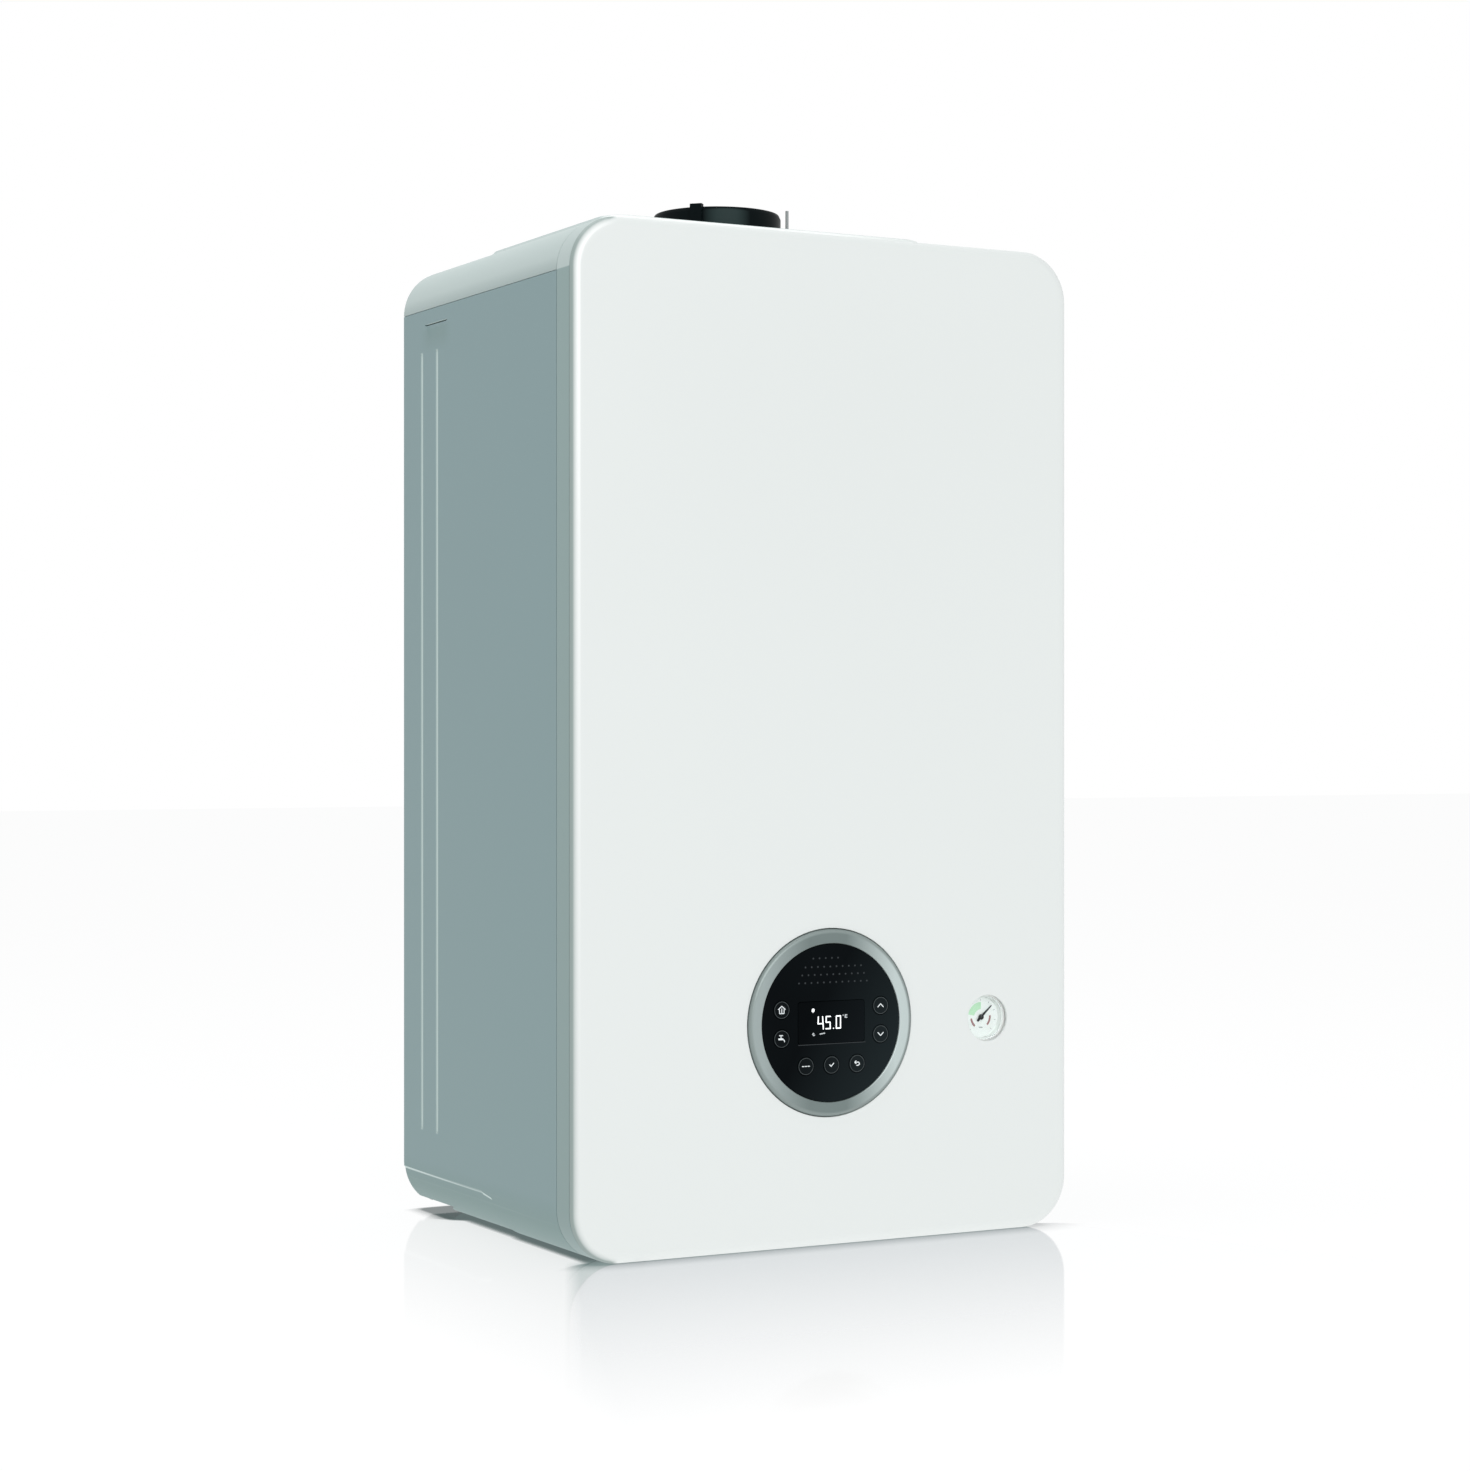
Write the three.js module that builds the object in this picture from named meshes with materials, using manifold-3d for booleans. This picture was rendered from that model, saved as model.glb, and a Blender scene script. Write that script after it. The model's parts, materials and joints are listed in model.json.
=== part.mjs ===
// Wall-hung condensing combination boiler, as the pieces it comes apart into.
// Millimetres, +Z up, +X to the right seen from the front, the front faces -Y.
// The origin is the centre of the boiler's footprint, on the surface that it stands on.
import * as THREE from "three";
import { mergeVertices } from "three/addons/utils/BufferGeometryUtils.js";
import Module from "manifold-3d";

const wasm = await Module();
wasm.setup();

// Casing: overall sizes, with the depth taken from the wall to the front of the control ring.
const WIDTH = 400;
const HEIGHT = 710;
const DEPTH = 300;
const CORNER_RADIUS = 36;
const SHEET = 1.5;
const GAP = 0.3;
const SEAM = 0.4;
const OVERRUN = 5;

// Side panels.
const SIDE_SHEET = 2;
const SIDE_LIP = 50;
const LEDGE_HEIGHT = 33;
const LEDGE_INSET = 0.8;
const LEDGE_BACK_LENGTH = 144;
const LEDGE_SLOPE_LENGTH = 18;
const LEDGE_SLOPE_DROP = 6;
const REAR_LIFT = 3;
const REAR_LIFT_LENGTH = 103;
const BEAD_WIDTH = 4.4;
const BEAD_DEPTH = 1;
const BEAD_BOTTOM = 65;
const BEAD_TOP_INSET = 64;
const BEAD_BACK_INSET = 37.5;
const BEAD_PITCH = 28.7;
const SLIT_LENGTH = 44;
const SLIT_HEIGHT = 1.8;
const SLIT_TOP_INSET = 48;
const SLIT_BACK_INSET = 62.5;
const SCOOP_HEIGHT = 22;
const SCOOP_DEPTH = 1;

// Top cover.
const LAP_HEIGHT = 10;
const PLATEAU_RISE = 7;
const PLATEAU_LEFT_INSET = 43;
const PLATEAU_RIGHT_WIDTH = 99;
const PLATEAU_FRONT_INSET = 7.1;
const PLATEAU_BACK_INSET = 60;
const PLATEAU_SLOPE = 7;
const PLATEAU_RADIUS = 18;

// Back panel and its hook slots.
const HOOK_SPACING = 240;
const HOOK_TOP_INSET = 70;
const HOOK_SLOT_WIDTH = 32;
const HOOK_SLOT_HEIGHT = 12;

// Base plate and rails.
const BASE_HEIGHT = 28;
const BASE_FRONT_INSET = 26;
const RAIL_HEIGHT = 16;
const RAIL_DEPTH = 10;
const RAIL_SET_BACK = 29;
const CATCH_SIDE_INSET = 50;
const CATCH_LENGTH = 12;
const CATCH_SET_BACK = 26;
const CATCH_SIDE = 12;

// Front cover.
const COVER_DEPTH = 25;
const PANEL_SHEET = 1.8;
const PANEL_RIM = 4.8;
const EDGE_RADIUS = 4;
const FRAME_WALL = 2.4;
const FRAME_LIP = 14;
const COVER_STUD_RADIUS = 3;
const COVER_STUD_LENGTH = 24;

// Control unit.
const RING_PROUD = 2;
const RING_RADIUS = 67;
const RING_WIDTH = 10.6;
const RING_HEIGHT = 156.5;
const RING_CLEARANCE = 1;
const RING_BEVEL = 1.6;
const FASCIA_DROP = 0.5;
const FASCIA_SHEET = 3;
const FASCIA_CLEARANCE = 0.3;
const CONTROL_SIDE_INSET = 108;
const CONTROL_HEIGHT = 180;
const CONTROL_BOTTOM = 62;
const CONTROL_FRONT_SET_BACK = 10;
const CONTROL_DEPTH = 48;
const CONTROL_WALL = 2.5;
const BOARD_SHEET = 1.6;
const BOARD_MARGIN = 10;
const BOARD_SET_BACK = 14;
const RELAY_WIDTH_SHARE = 0.7;
const RELAY_DEPTH_SHARE = 0.6;
const HINGE_HEIGHT = 70;
const HINGE_SET_BACK = 44;
const HINGE_PIN_RADIUS = 4;
const HINGE_PIN_LENGTH = 7;
const HINGE_CLEARANCE = 0.3;
const HINGE_EAR_SIDE = 18;
const HINGE_EAR_SHEET = 3;
const WINDOW_WIDTH = 54;
const WINDOW_HEIGHT = 30;
const WINDOW_RISE = 0.5;
const WINDOW_RADIUS = 2;
const DISPLAY_DEPTH = 5;
const KEY_RADIUS = 6.4;
const KEY_CLEARANCE = 0.35;
const KEY_PROUD = 0.25;
const KEY_FLANGE = 1.2;
const KEY_FLANGE_SHEET = 1.2;
const KEY_SIDE_X = 40;
const KEY_SIDE_HIGH = 10.5;
const KEY_SIDE_LOW = -9.6;
const KEY_ROW_X = 20.7;
const KEY_ROW_DROP = 29.6;

// Pressure gauge.
const GAUGE_SIDE_INSET = 69;
const GAUGE_Z = 154;
const GAUGE_HOLE_RADIUS = 16.5;
const GAUGE_RADIUS = 19;
const GAUGE_WALL = 3;
const GAUGE_SET_BACK = 3.6;
const GAUGE_LENGTH = 30;
const GAUGE_RECESS = 6;
const GAUGE_LENS_SHEET = 1.2;
const NEEDLE_LENGTH = 12;
const NEEDLE_TAIL = 4;
const NEEDLE_WIDTH = 1.6;
const NEEDLE_SHEET = 0.8;
const NEEDLE_HUB_RADIUS = 2;
const NEEDLE_PIVOT_RADIUS = 0.8;
const NEEDLE_PIVOT_LENGTH = 1.4;
const NEEDLE_ANGLE_DEG = 48;
const GAUGE_STEM_RADIUS = 5;
const GAUGE_STEM_LENGTH = 9;
const BRACKET_WIDTH = 34;
const BRACKET_SHEET = 2;

// Flue adapter, its clip, seal and duct.
const FLUE_X = 0;
const FLUE_Y = 22.6;
const ADAPTER_RADIUS = 48;
const ADAPTER_WALL = 3;
const ADAPTER_RISE_HEIGHT = 37;
const ADAPTER_FLANGE_RADIUS = 64;
const ADAPTER_FLANGE_SHEET = 3;
const ADAPTER_RIM = 3;
const ADAPTER_RIM_WALL = 1.2;
const SOCKET_RADIUS = 31;
const SOCKET_WALL = 2.5;
const SOCKET_DEPTH = 14;
const RIB_SHEET = 3;
const LUG_WIDTH = 9;
const LUG_DEPTH = 4;
const LUG_PROUD = 4;
const LUG_LENGTH = 24;
const LUG_ANGLE_DEG = 42;
const SEAL_SECTION = 3;
const DUCT_WALL = 2.5;
const DUCT_FLANGE = 6;
const DUCT_FLANGE_HEIGHT = 10;
const CLIP_RADIUS = 1.25;
const CLIP_X = 60.4;
const CLIP_RISE_HEIGHT = 46;
const CLIP_FOOT = 9;
const CLIP_BEND = 5;

// Heat exchanger, a ribbed drum on a front to back axis, with its door and burner.
const DRUM_TOP_INSET = 210;
const DRUM_SET_BACK = 73;
const DRUM_BACK_INSET = 63;
const DRUM_RADIUS = 100;
const DRUM_RIB = 6;
const DRUM_RIB_WIDTH = 9;
const DRUM_RIBS = 5;
const DRUM_BORE = 62;
const DRUM_FLOOR = 12;
const PORT_RADIUS = 13;
const PORT_LENGTH = 12;
const PORT_BACK_INSET = 57;
const DOOR_SHEET = 7;
const DOOR_HUB_RADIUS = 24;
const DOOR_HUB_LENGTH = 9;
const DOOR_FIN_SHEET = 2.5;
const DOOR_FIN_HEIGHT = 5;
const DOOR_FINS = 6;
const DOOR_BOLTS = 6;
const DOOR_BOLT_RADIUS = 4;
const DOOR_BOLT_HEIGHT = 4;
const DOOR_BOLT_INSET = 9;
const BURNER_RADIUS = 34;
const BURNER_WALL = 1.5;
const BURNER_BACK_INSET = 42;
const ELECTRODE_RADIUS = 2;
const ELECTRODE_BODY_RADIUS = 4;
const ELECTRODE_BODY_LENGTH = 16;
const ELECTRODE_REACH = 46;
const ELECTRODE_CIRCLE = 47;
const IGNITER_ANGLE_DEG = 215;
const IONISATION_ANGLE_DEG = 325;
const HANGER_WIDTH = 150;
const HANGER_HEIGHT = 60;
const HANGER_RISE = 40;
const HANGER_SHEET = 3;

// Premix fan, with the scroll's plane square to the front to back axis.
const FAN_X = 99;
const FAN_TOP_INSET = 98;
const FAN_SET_BACK = 20;
const FAN_DEPTH = 40;
const FAN_WALL = 3;
const SCROLL_START = 50;
const SCROLL_GROWTH = 18;
const SCROLL_STEPS = 24;
const TONGUE_SHARE = 0.6;
const WHEEL_RADIUS = 40;
const WHEEL_HUB_RADIUS = 12;
const WHEEL_DISC = 2.5;
const WHEEL_BLADES = 12;
const WHEEL_BLADE_SHEET = 2;
const WHEEL_BLADE_LENGTH = 17;
const WHEEL_BLADE_LEAN_DEG = 35;
const WHEEL_CLEARANCE = 2.5;
const WHEEL_SHAFT_RADIUS = 4;
const FAN_INLET_RADIUS = 22;
const FAN_MOTOR_RADIUS = 30;
const FAN_MOTOR_LENGTH = 11;
const FAN_MOTOR_FINS = 10;
const FAN_FIN_SHEET = 2;
const FAN_FIN_HEIGHT = 4;
const MOTOR_BORE_SHARE = 0.7;
const SHAFT_CLEARANCE = 0.5;
const ELBOW_RADIUS = 15;
const ELBOW_FLANGE = 6;
const ELBOW_FLANGE_SHEET = 5;
const ELBOW_STEPS = 12;
const VENTURI_RADIUS = 26;
const VENTURI_THROAT_SHARE = 0.6;
const VENTURI_LENGTH = 60;
const VENTURI_WALL = 2.5;
const VENTURI_PORT_RADIUS = 7;
const VENTURI_BEND_RADIUS = 10.5;
const VENTURI_TURN_SHARE = 0.8;

// Gas line.
const GAS_VALVE_SET_BACK = 56;
const GAS_VALVE_DROP_HEIGHT = 98;
const GAS_TURN_SHARE = 0.37;
const GAS_PIPE_CLEARANCE = 57;
const GAS_VALVE_WIDTH = 48;
const GAS_VALVE_DEPTH = 54;
const GAS_VALVE_HEIGHT = 62;
const GAS_COIL_RADIUS = 14;
const GAS_COIL_LENGTH = 12;
const GAS_PIPE_RADIUS = 8;
const PIPE_NUT_RADIUS = 12;
const PIPE_STEPS = 14;
const PIPE_SIDES = 8;

// Expansion vessel, a flat round one on the back panel.
const VESSEL_RADIUS = 138;
const VESSEL_DROP_HEIGHT = 208;
const VESSEL_DEPTH_SHARE = 0.46;
const VESSEL_RIM = 5;
const VESSEL_RIM_WIDTH = 8;
const VESSEL_CROWN = 8;
const VESSEL_FLAT_SHARE = 0.6;
const VESSEL_FOOT_RADIUS = 40;
const VESSEL_PIPE_RADIUS = 5;
const VESSEL_PORT_DROP_SHARE = 0.6;

// Hydraulic blocks, their connections and what sits on them.
const BLOCK_SIDE_INSET = 70;
const STUB_BACK_INSET = 27;
const STUB_RADIUS = 11;
const STUB_WALL = 3;
const STUB_BOTTOM = 6;
const STUB_COLLAR = 3;
const STUB_COLLAR_HEIGHT = 8;
const STUB_CLEARANCE = 1.5;
const BLOCK_WIDTH = 54;
const BLOCK_FRONT_SHARE = 0.56;
const BLOCK_BACK_SHARE = 0.42;
const BLOCK_BOTTOM = 36;
const BLOCK_HEIGHT = 32;
const BLOCK_EDGE = 5;
const PORT_BRIDGE = 14;
const PLATES_DEPTH_SHARE = 0.4;
const PLATES_HEIGHT = 58;
const PLATES_FRONT_INSET = 4;
const PLATES_GROOVES = 9;
const PLATES_GROOVE_DEPTH = 2;
const PLATES_GROOVE_SHARE = 0.45;
const PUMP_HEIGHT = 124;
const PUMP_FRONT_SHARE = 0.08;
const PUMP_DEPTH_SHARE = 0.44;
const PUMP_RADIUS = 37;
const PUMP_WALL = 4;
const PUMP_NECK = 22;
const PUMP_OUTLET_RISE = 8;
const VENT_PLACE_SHARE = 0.75;
const PUMP_WHEEL_RADIUS = 27;
const PUMP_WHEEL_DEPTH = 14;
const PUMP_VANES = 6;
const PUMP_VANE_SHEET = 3;
const PUMP_VANE_SHARE = 0.75;
const PUMP_MOTOR_RADIUS = 38;
const PUMP_MOTOR_SHARE = 0.58;
const PUMP_MOTOR_RIBS = 8;
const PUMP_BOX_WIDTH = 44;
const PUMP_BOX_HEIGHT = 16;
const PUMP_BOX_LENGTH = 38;
const VENT_RADIUS = 11;
const VENT_HEIGHT = 34;
const VENT_CAP_RADIUS = 6;
const VENT_SHOULDER_SHARE = 0.8;
const VENT_CAP_HEIGHT = 7;
const DIVERTER_TURRET = 20;
const DIVERTER_TURRET_RADIUS = 17;
const DIVERTER_SHARE = 0.3;
const DIVERTER_WIDTH = 44;
const DIVERTER_DEPTH = 46;
const DIVERTER_HEIGHT = 50;
const SPINDLE_RADIUS = 3;
const SPINDLE_LENGTH = 24;
const SPINDLE_TRAVEL = 6;
const SPINDLE_HEAD_RADIUS = 9;
const SPINDLE_HEAD_HEIGHT = 4;
const RELIEF_RADIUS = 12;
const RELIEF_LENGTH = 16;
const RELIEF_NECK_RADIUS = 5;
const RELIEF_NECK_LENGTH = 6;
const RELIEF_KNOB_RADIUS = 15;
const RELIEF_KNOB_LENGTH = 14;
const KNOB_LOBES = 6;
const KNOB_LOBE_RADIUS = 4;
const TAP_LEVER_LENGTH = 26;
const TAP_LEVER_WIDTH = 9;
const TAP_LEVER_ROUND_SHARE = 0.9;
const TAP_HUB_RADIUS = 8;
const WATER_PIPE_REACH_LENGTH = 24;
const WATER_PIPE_BEND_RADIUS = 9.6;
const TRAP_X = 0;
const TRAP_BACK_INSET = 19;
const TRAP_RADIUS_SHARE = 0.27;
const TRAP_BOTTOM = 40;
const TRAP_HEIGHT = 130;
const TRAP_PIPE_RADIUS = 9;
const TRAP_OUTLET_RADIUS = 10;

// Facets: sides of round pieces, from small to large.
const SIDES_HEX = 6;
const SIDES_SMALL = 8;
const SIDES_MEDIUM = 12;
const SIDES_LARGE = 28;
const SIDES_RING = 44;
const SIDES_DRUM = 20;
const CORNER_STEPS = 4;
const RIGHT_ANGLE = Math.PI / 2;

// Places that follow from the sizes above.
const HALF_WIDTH = WIDTH / 2;
const FRONT = -DEPTH / 2 + RING_PROUD;
const BACK = DEPTH / 2;
const SIDE_FRONT = FRONT + COVER_DEPTH + SEAM;
const SHOULDER = HEIGHT - CORNER_RADIUS;
const SLIT_ABOVE_SCOOP = HEIGHT - SLIT_TOP_INSET;
const BEAD_TOP = HEIGHT - BEAD_TOP_INSET;
const HOOK_HEIGHT = HEIGHT - HOOK_TOP_INSET;
const ADAPTER_TOP = HEIGHT + ADAPTER_RISE_HEIGHT;
const CLIP_TOP = HEIGHT + CLIP_RISE_HEIGHT;
const DRUM_HEIGHT = HEIGHT - DRUM_TOP_INSET;
const FAN_Z = HEIGHT - FAN_TOP_INSET;
const GAS_VALVE_BOTTOM = DRUM_HEIGHT - GAS_VALVE_DROP_HEIGHT;
const VESSEL_HEIGHT = DRUM_HEIGHT - VESSEL_DROP_HEIGHT;
const INNER_HALF = HALF_WIDTH - SIDE_SHEET - GAP;
const CATCH_X = HALF_WIDTH - CATCH_SIDE_INSET;
const CONTROL_WIDTH = WIDTH - 2 * CONTROL_SIDE_INSET;
const GAUGE_X = HALF_WIDTH - GAUGE_SIDE_INSET;
const PANEL_BACK_FACE = FRONT + PANEL_SHEET;
const FRAME_FRONT = FRONT + PANEL_RIM + GAP;
const FRAME_BACK = FRONT + COVER_DEPTH;
const BACK_PANEL_FRONT = BACK - SHEET;
const THIRD_OF_DEPTH = DEPTH / 3;
const RAIL_FRONT = FRONT + RAIL_SET_BACK;
const BASE_TOP = BASE_HEIGHT + SHEET;
const RAIL_TOP = BASE_TOP + GAP + RAIL_HEIGHT;
const CONTROL_FRONT = FRONT + CONTROL_FRONT_SET_BACK;
const CONTROL_BACK = CONTROL_FRONT + CONTROL_DEPTH;
const RING_FRONT = FRONT - RING_PROUD;
const FASCIA_FRONT = RING_FRONT + FASCIA_DROP;
const FASCIA_BACK = FASCIA_FRONT + FASCIA_SHEET;
const FASCIA_RADIUS = RING_RADIUS - RING_WIDTH - FASCIA_CLEARANCE;
const PLATEAU_TOP = HEIGHT + PLATEAU_RISE;
const DRUM_FRONT = FRONT + DRUM_SET_BACK;
const DRUM_BACK = BACK - DRUM_BACK_INSET;
const DRUM_LENGTH = DRUM_BACK - DRUM_FRONT;
const BURNER_LENGTH = DRUM_LENGTH - BURNER_BACK_INSET;
const PORT_Y = DRUM_BACK - PORT_BACK_INSET;
const DOOR_BACK = DRUM_FRONT - GAP;
const DOOR_FRONT = DOOR_BACK - DOOR_SHEET;
const FAN_FRONT = FRONT + FAN_SET_BACK;
const FAN_BACK = FAN_FRONT + FAN_DEPTH;
const GAS_VALVE_X = DRUM_RADIUS + DRUM_RIB + GAS_VALVE_WIDTH / 2;
const GAS_VALVE_Y = FRONT + GAS_VALVE_SET_BACK;
const BLOCK_TOP = BLOCK_BOTTOM + BLOCK_HEIGHT;
const BLOCK_X = HALF_WIDTH - BLOCK_SIDE_INSET;
const STUB_PITCH = BLOCK_X / 2;
const TAP_Z = (BLOCK_BOTTOM + BLOCK_TOP) / 2;
const BLOCK_FRONT = -THIRD_OF_DEPTH * BLOCK_FRONT_SHARE;
const BLOCK_BACK = THIRD_OF_DEPTH * BLOCK_BACK_SHARE;
const STUB_Y = BLOCK_BACK - STUB_BACK_INSET;
const PLATES_DEPTH = THIRD_OF_DEPTH * PLATES_DEPTH_SHARE;
const PUMP_FRONT = -THIRD_OF_DEPTH * PUMP_FRONT_SHARE;
const PUMP_DEPTH = THIRD_OF_DEPTH * PUMP_DEPTH_SHARE;
const PUMP_MOTOR_LENGTH = THIRD_OF_DEPTH * PUMP_MOTOR_SHARE;
const DIVERTER_Y = -THIRD_OF_DEPTH * DIVERTER_SHARE;
const TRAP_Y = DRUM_BACK - TRAP_BACK_INSET;
const TRAP_RADIUS = THIRD_OF_DEPTH * TRAP_RADIUS_SHARE;
const VESSEL_BACK = BACK_PANEL_FRONT - GAP;
const VESSEL_DEPTH = THIRD_OF_DEPTH * VESSEL_DEPTH_SHARE;
const VESSEL_FRONT = VESSEL_BACK - VESSEL_DEPTH;
const HINGE_Y = FRONT + HINGE_SET_BACK;
const HINGE_EAR_X = CONTROL_WIDTH / 2 + 2 * GAP;

// Vertices closer than this are one vertex, as a share of a millimetre sized part.
const MERGE_SHARE = 1e-7;

// A closed geometry as a solid that can be cut and joined, facing outwards.
function solid(geometry) {
  const plain = geometry.index ? geometry.toNonIndexed() : geometry.clone();
  plain.deleteAttribute("normal");
  plain.deleteAttribute("uv");
  const merged = mergeVertices(plain, MERGE_SHARE * HEIGHT);
  const made = manifoldOf(merged.attributes.position.array, corners(merged.index.array, false));
  if (made.volume() > 0) return made;
  return manifoldOf(merged.attributes.position.array, corners(merged.index.array, true));
}

function manifoldOf(vertProperties, triVerts) {
  return new wasm.Manifold(new wasm.Mesh({ numProp: 3, vertProperties, triVerts }));
}

// The triangles that have three different corners, turned round if asked.
function corners(index, turned) {
  const kept = [];
  for (let i = 0; i < index.length; i += 3) {
    const [a, b, c] = index.slice(i, i + 3);
    if (a === b || b === c || c === a) continue;
    kept.push(a, turned ? c : b, turned ? b : c);
  }
  return new Uint32Array(kept);
}

// A solid as a geometry that a mesh can show.
function geometryOf(made) {
  const mesh = made.getMesh();
  const places = new Float32Array(mesh.numVert * 3);
  for (let i = 0; i < mesh.numVert; i += 1) {
    const from = i * mesh.numProp;
    places.set(mesh.vertProperties.subarray(from, from + 3), i * 3);
  }
  const geometry = new THREE.BufferGeometry();
  geometry.setAttribute("position", new THREE.BufferAttribute(places, 3));
  geometry.setIndex(new THREE.BufferAttribute(mesh.triVerts, 1));
  geometry.computeVertexNormals();
  return geometry;
}

function joined(...solids) {
  return solids.reduce((sum, next) => sum.add(next));
}

function cut(from, ...tools) {
  return tools.reduce((rest, tool) => rest.subtract(tool), from);
}

// The same solid on the other side of the boiler's middle plane.
function mirrored(made) {
  return solid(geometryOf(made).scale(-1, 1, 1));
}

function turnedAboutY(made, angle) {
  return solid(geometryOf(made).rotateY(angle));
}

// A rectangle with rounded corners as a flat outline.
function roundedOutline(left, right, bottom, top, radius) {
  const shape = new THREE.Shape();
  shape.moveTo(left + radius, bottom);
  shape.lineTo(right - radius, bottom);
  shape.absarc(right - radius, bottom + radius, radius, -RIGHT_ANGLE, 0);
  shape.lineTo(right, top - radius);
  shape.absarc(right - radius, top - radius, radius, 0, RIGHT_ANGLE);
  shape.lineTo(left + radius, top);
  shape.absarc(left + radius, top - radius, radius, RIGHT_ANGLE, 2 * RIGHT_ANGLE);
  shape.lineTo(left, bottom + radius);
  shape.absarc(left + radius, bottom + radius, radius, 2 * RIGHT_ANGLE, 3 * RIGHT_ANGLE);
  return shape;
}

function outlineThrough(points) {
  return new THREE.Shape(points.map(([across, up]) => new THREE.Vector2(across, up)));
}

function extruded(shape, depth, arcSteps, bevel = { bevelEnabled: false }) {
  return new THREE.ExtrudeGeometry(shape, { depth, curveSegments: arcSteps, ...bevel });
}

// An outline in X and Z, thick from one Y to another.
function slab(shape, front, back, arcSteps = CORNER_STEPS) {
  return solid(extruded(shape, back - front, arcSteps).rotateX(RIGHT_ANGLE).translate(0, back, 0));
}

// An outline in X and Y, thick from one Z to another.
function plate(shape, bottom, top, arcSteps = CORNER_STEPS) {
  return solid(extruded(shape, top - bottom, arcSteps).translate(0, 0, bottom));
}

// An outline in Y and Z, thick from one X to another.
function profileAcross(shape, left, right, arcSteps = CORNER_STEPS) {
  const geometry = extruded(shape, right - left, arcSteps);
  return solid(geometry.rotateX(RIGHT_ANGLE).rotateZ(RIGHT_ANGLE).translate(left, 0, 0));
}

function box(left, right, front, back, bottom, top) {
  const geometry = new THREE.BoxGeometry(right - left, back - front, top - bottom);
  return solid(geometry.translate((left + right) / 2, (front + back) / 2, (bottom + top) / 2));
}

function cylinder(radius, length, sides) {
  return new THREE.CylinderGeometry(radius, radius, length, sides);
}

function rodAlongX(radius, left, right, y, z, sides = SIDES_MEDIUM) {
  const geometry = cylinder(radius, right - left, sides).rotateZ(RIGHT_ANGLE);
  return solid(geometry.translate((left + right) / 2, y, z));
}

function rodAlongY(radius, front, back, x, z, sides = SIDES_MEDIUM) {
  return solid(cylinder(radius, back - front, sides).translate(x, (front + back) / 2, z));
}

function rodAlongZ(radius, bottom, top, x, y, sides = SIDES_MEDIUM) {
  const geometry = cylinder(radius, top - bottom, sides).rotateX(RIGHT_ANGLE);
  return solid(geometry.translate(x, y, (bottom + top) / 2));
}

// A profile of radius and place along the axis, turned about Y or about Z.
function turnedProfile(profile, sides) {
  return new THREE.LatheGeometry(profile.map(([radius, along]) => new THREE.Vector2(radius, along)), sides);
}

function turnedAlongY(profile, sides = SIDES_MEDIUM) {
  return solid(turnedProfile(profile, sides));
}

function turnedAlongZ(profile, sides = SIDES_MEDIUM) {
  return solid(turnedProfile(profile, sides).rotateX(RIGHT_ANGLE));
}

// A path of straight runs whose corners are rounded with the given bend.
function route(points, bend) {
  const places = points.map((point) => new THREE.Vector3(...point));
  const path = new THREE.CurvePath();
  let from = places[0];
  for (let i = 1; i < places.length - 1; i += 1) {
    const corner = places[i];
    const before = corner.clone().add(towards(corner, places[i - 1], bend));
    const after = corner.clone().add(towards(corner, places[i + 1], bend));
    path.add(new THREE.LineCurve3(from, before));
    path.add(new THREE.QuadraticBezierCurve3(before, corner, after));
    from = after;
  }
  path.add(new THREE.LineCurve3(from, places[places.length - 1]));
  return path;
}

function towards(from, to, length) {
  return to.clone().sub(from).setLength(length);
}

function circleOutline(radius) {
  return new THREE.Shape().absarc(0, 0, radius, 0, 4 * RIGHT_ANGLE);
}

function tube(path, radius, steps = PIPE_STEPS, sides = PIPE_SIDES) {
  const options = { steps, extrudePath: path, bevelEnabled: false, curveSegments: sides / 2 };
  return solid(new THREE.ExtrudeGeometry(circleOutline(radius), options));
}

function radians(degrees) {
  return THREE.MathUtils.degToRad(degrees);
}

// Finishes, with colours read off the photograph for what it shows.
function finish(color, roughness, metalness = 0) {
  return new THREE.MeshStandardMaterial({ color, roughness, metalness });
}

const finishes = {
  white: finish(0xe7ebea, 0.35),
  grey: finish(0x8a9ea0, 0.5),
  flange: finish(0x90a3a0, 0.45),
  lightGrey: finish(0xc3d2d0, 0.45),
  steel: finish(0xa9b0b2, 0.4, 0.9),
  castAluminium: finish(0xb4b8ba, 0.5, 0.8),
  stainless: finish(0xc4c8ca, 0.3, 0.9),
  brass: finish(0xb8924a, 0.35, 0.9),
  copper: finish(0xb5704a, 0.35, 0.9),
  blackPlastic: finish(0x080d10, 0.45),
  gloss: finish(0x0c1216, 0.08),
  satin: finish(0xb0bfbd, 0.35, 0.3),
  display: finish(0x05080a, 0.05),
  key: finish(0x10161a, 0.2),
  greyPlastic: finish(0x4a5052, 0.55),
  board: finish(0x1f5a38, 0.6),
  dial: finish(0xf0f2f0, 0.5),
  needle: finish(0x101214, 0.5),
  glass: finish(0xe8f0f2, 0.05),
  rubber: finish(0x1c1e1f, 0.8),
  red: finish(0xa8231c, 0.45),
  blue: finish(0x1f4f8f, 0.45),
  vessel: finish(0x8d1d1a, 0.5),
  ceramic: finish(0xe6e2d6, 0.5),
};

const boiler = new THREE.Group();

function assembly(x = 0, y = 0, z = 0) {
  const group = new THREE.Group();
  group.position.set(x, y, z);
  boiler.add(group);
  return group;
}

function piece(group, name, made, material) {
  const mesh = new THREE.Mesh(geometryOf(made), material);
  mesh.name = name;
  group.add(mesh);
  return mesh;
}

// The casing's outline seen from the front, drawn in by an inset.
function casingOutline(inset) {
  const radius = CORNER_RADIUS - inset;
  return roundedOutline(inset - HALF_WIDTH, HALF_WIDTH - inset, inset, HEIGHT - inset, radius);
}

function casingSlab(inset, front, back) {
  return slab(casingOutline(inset), front, back);
}

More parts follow.
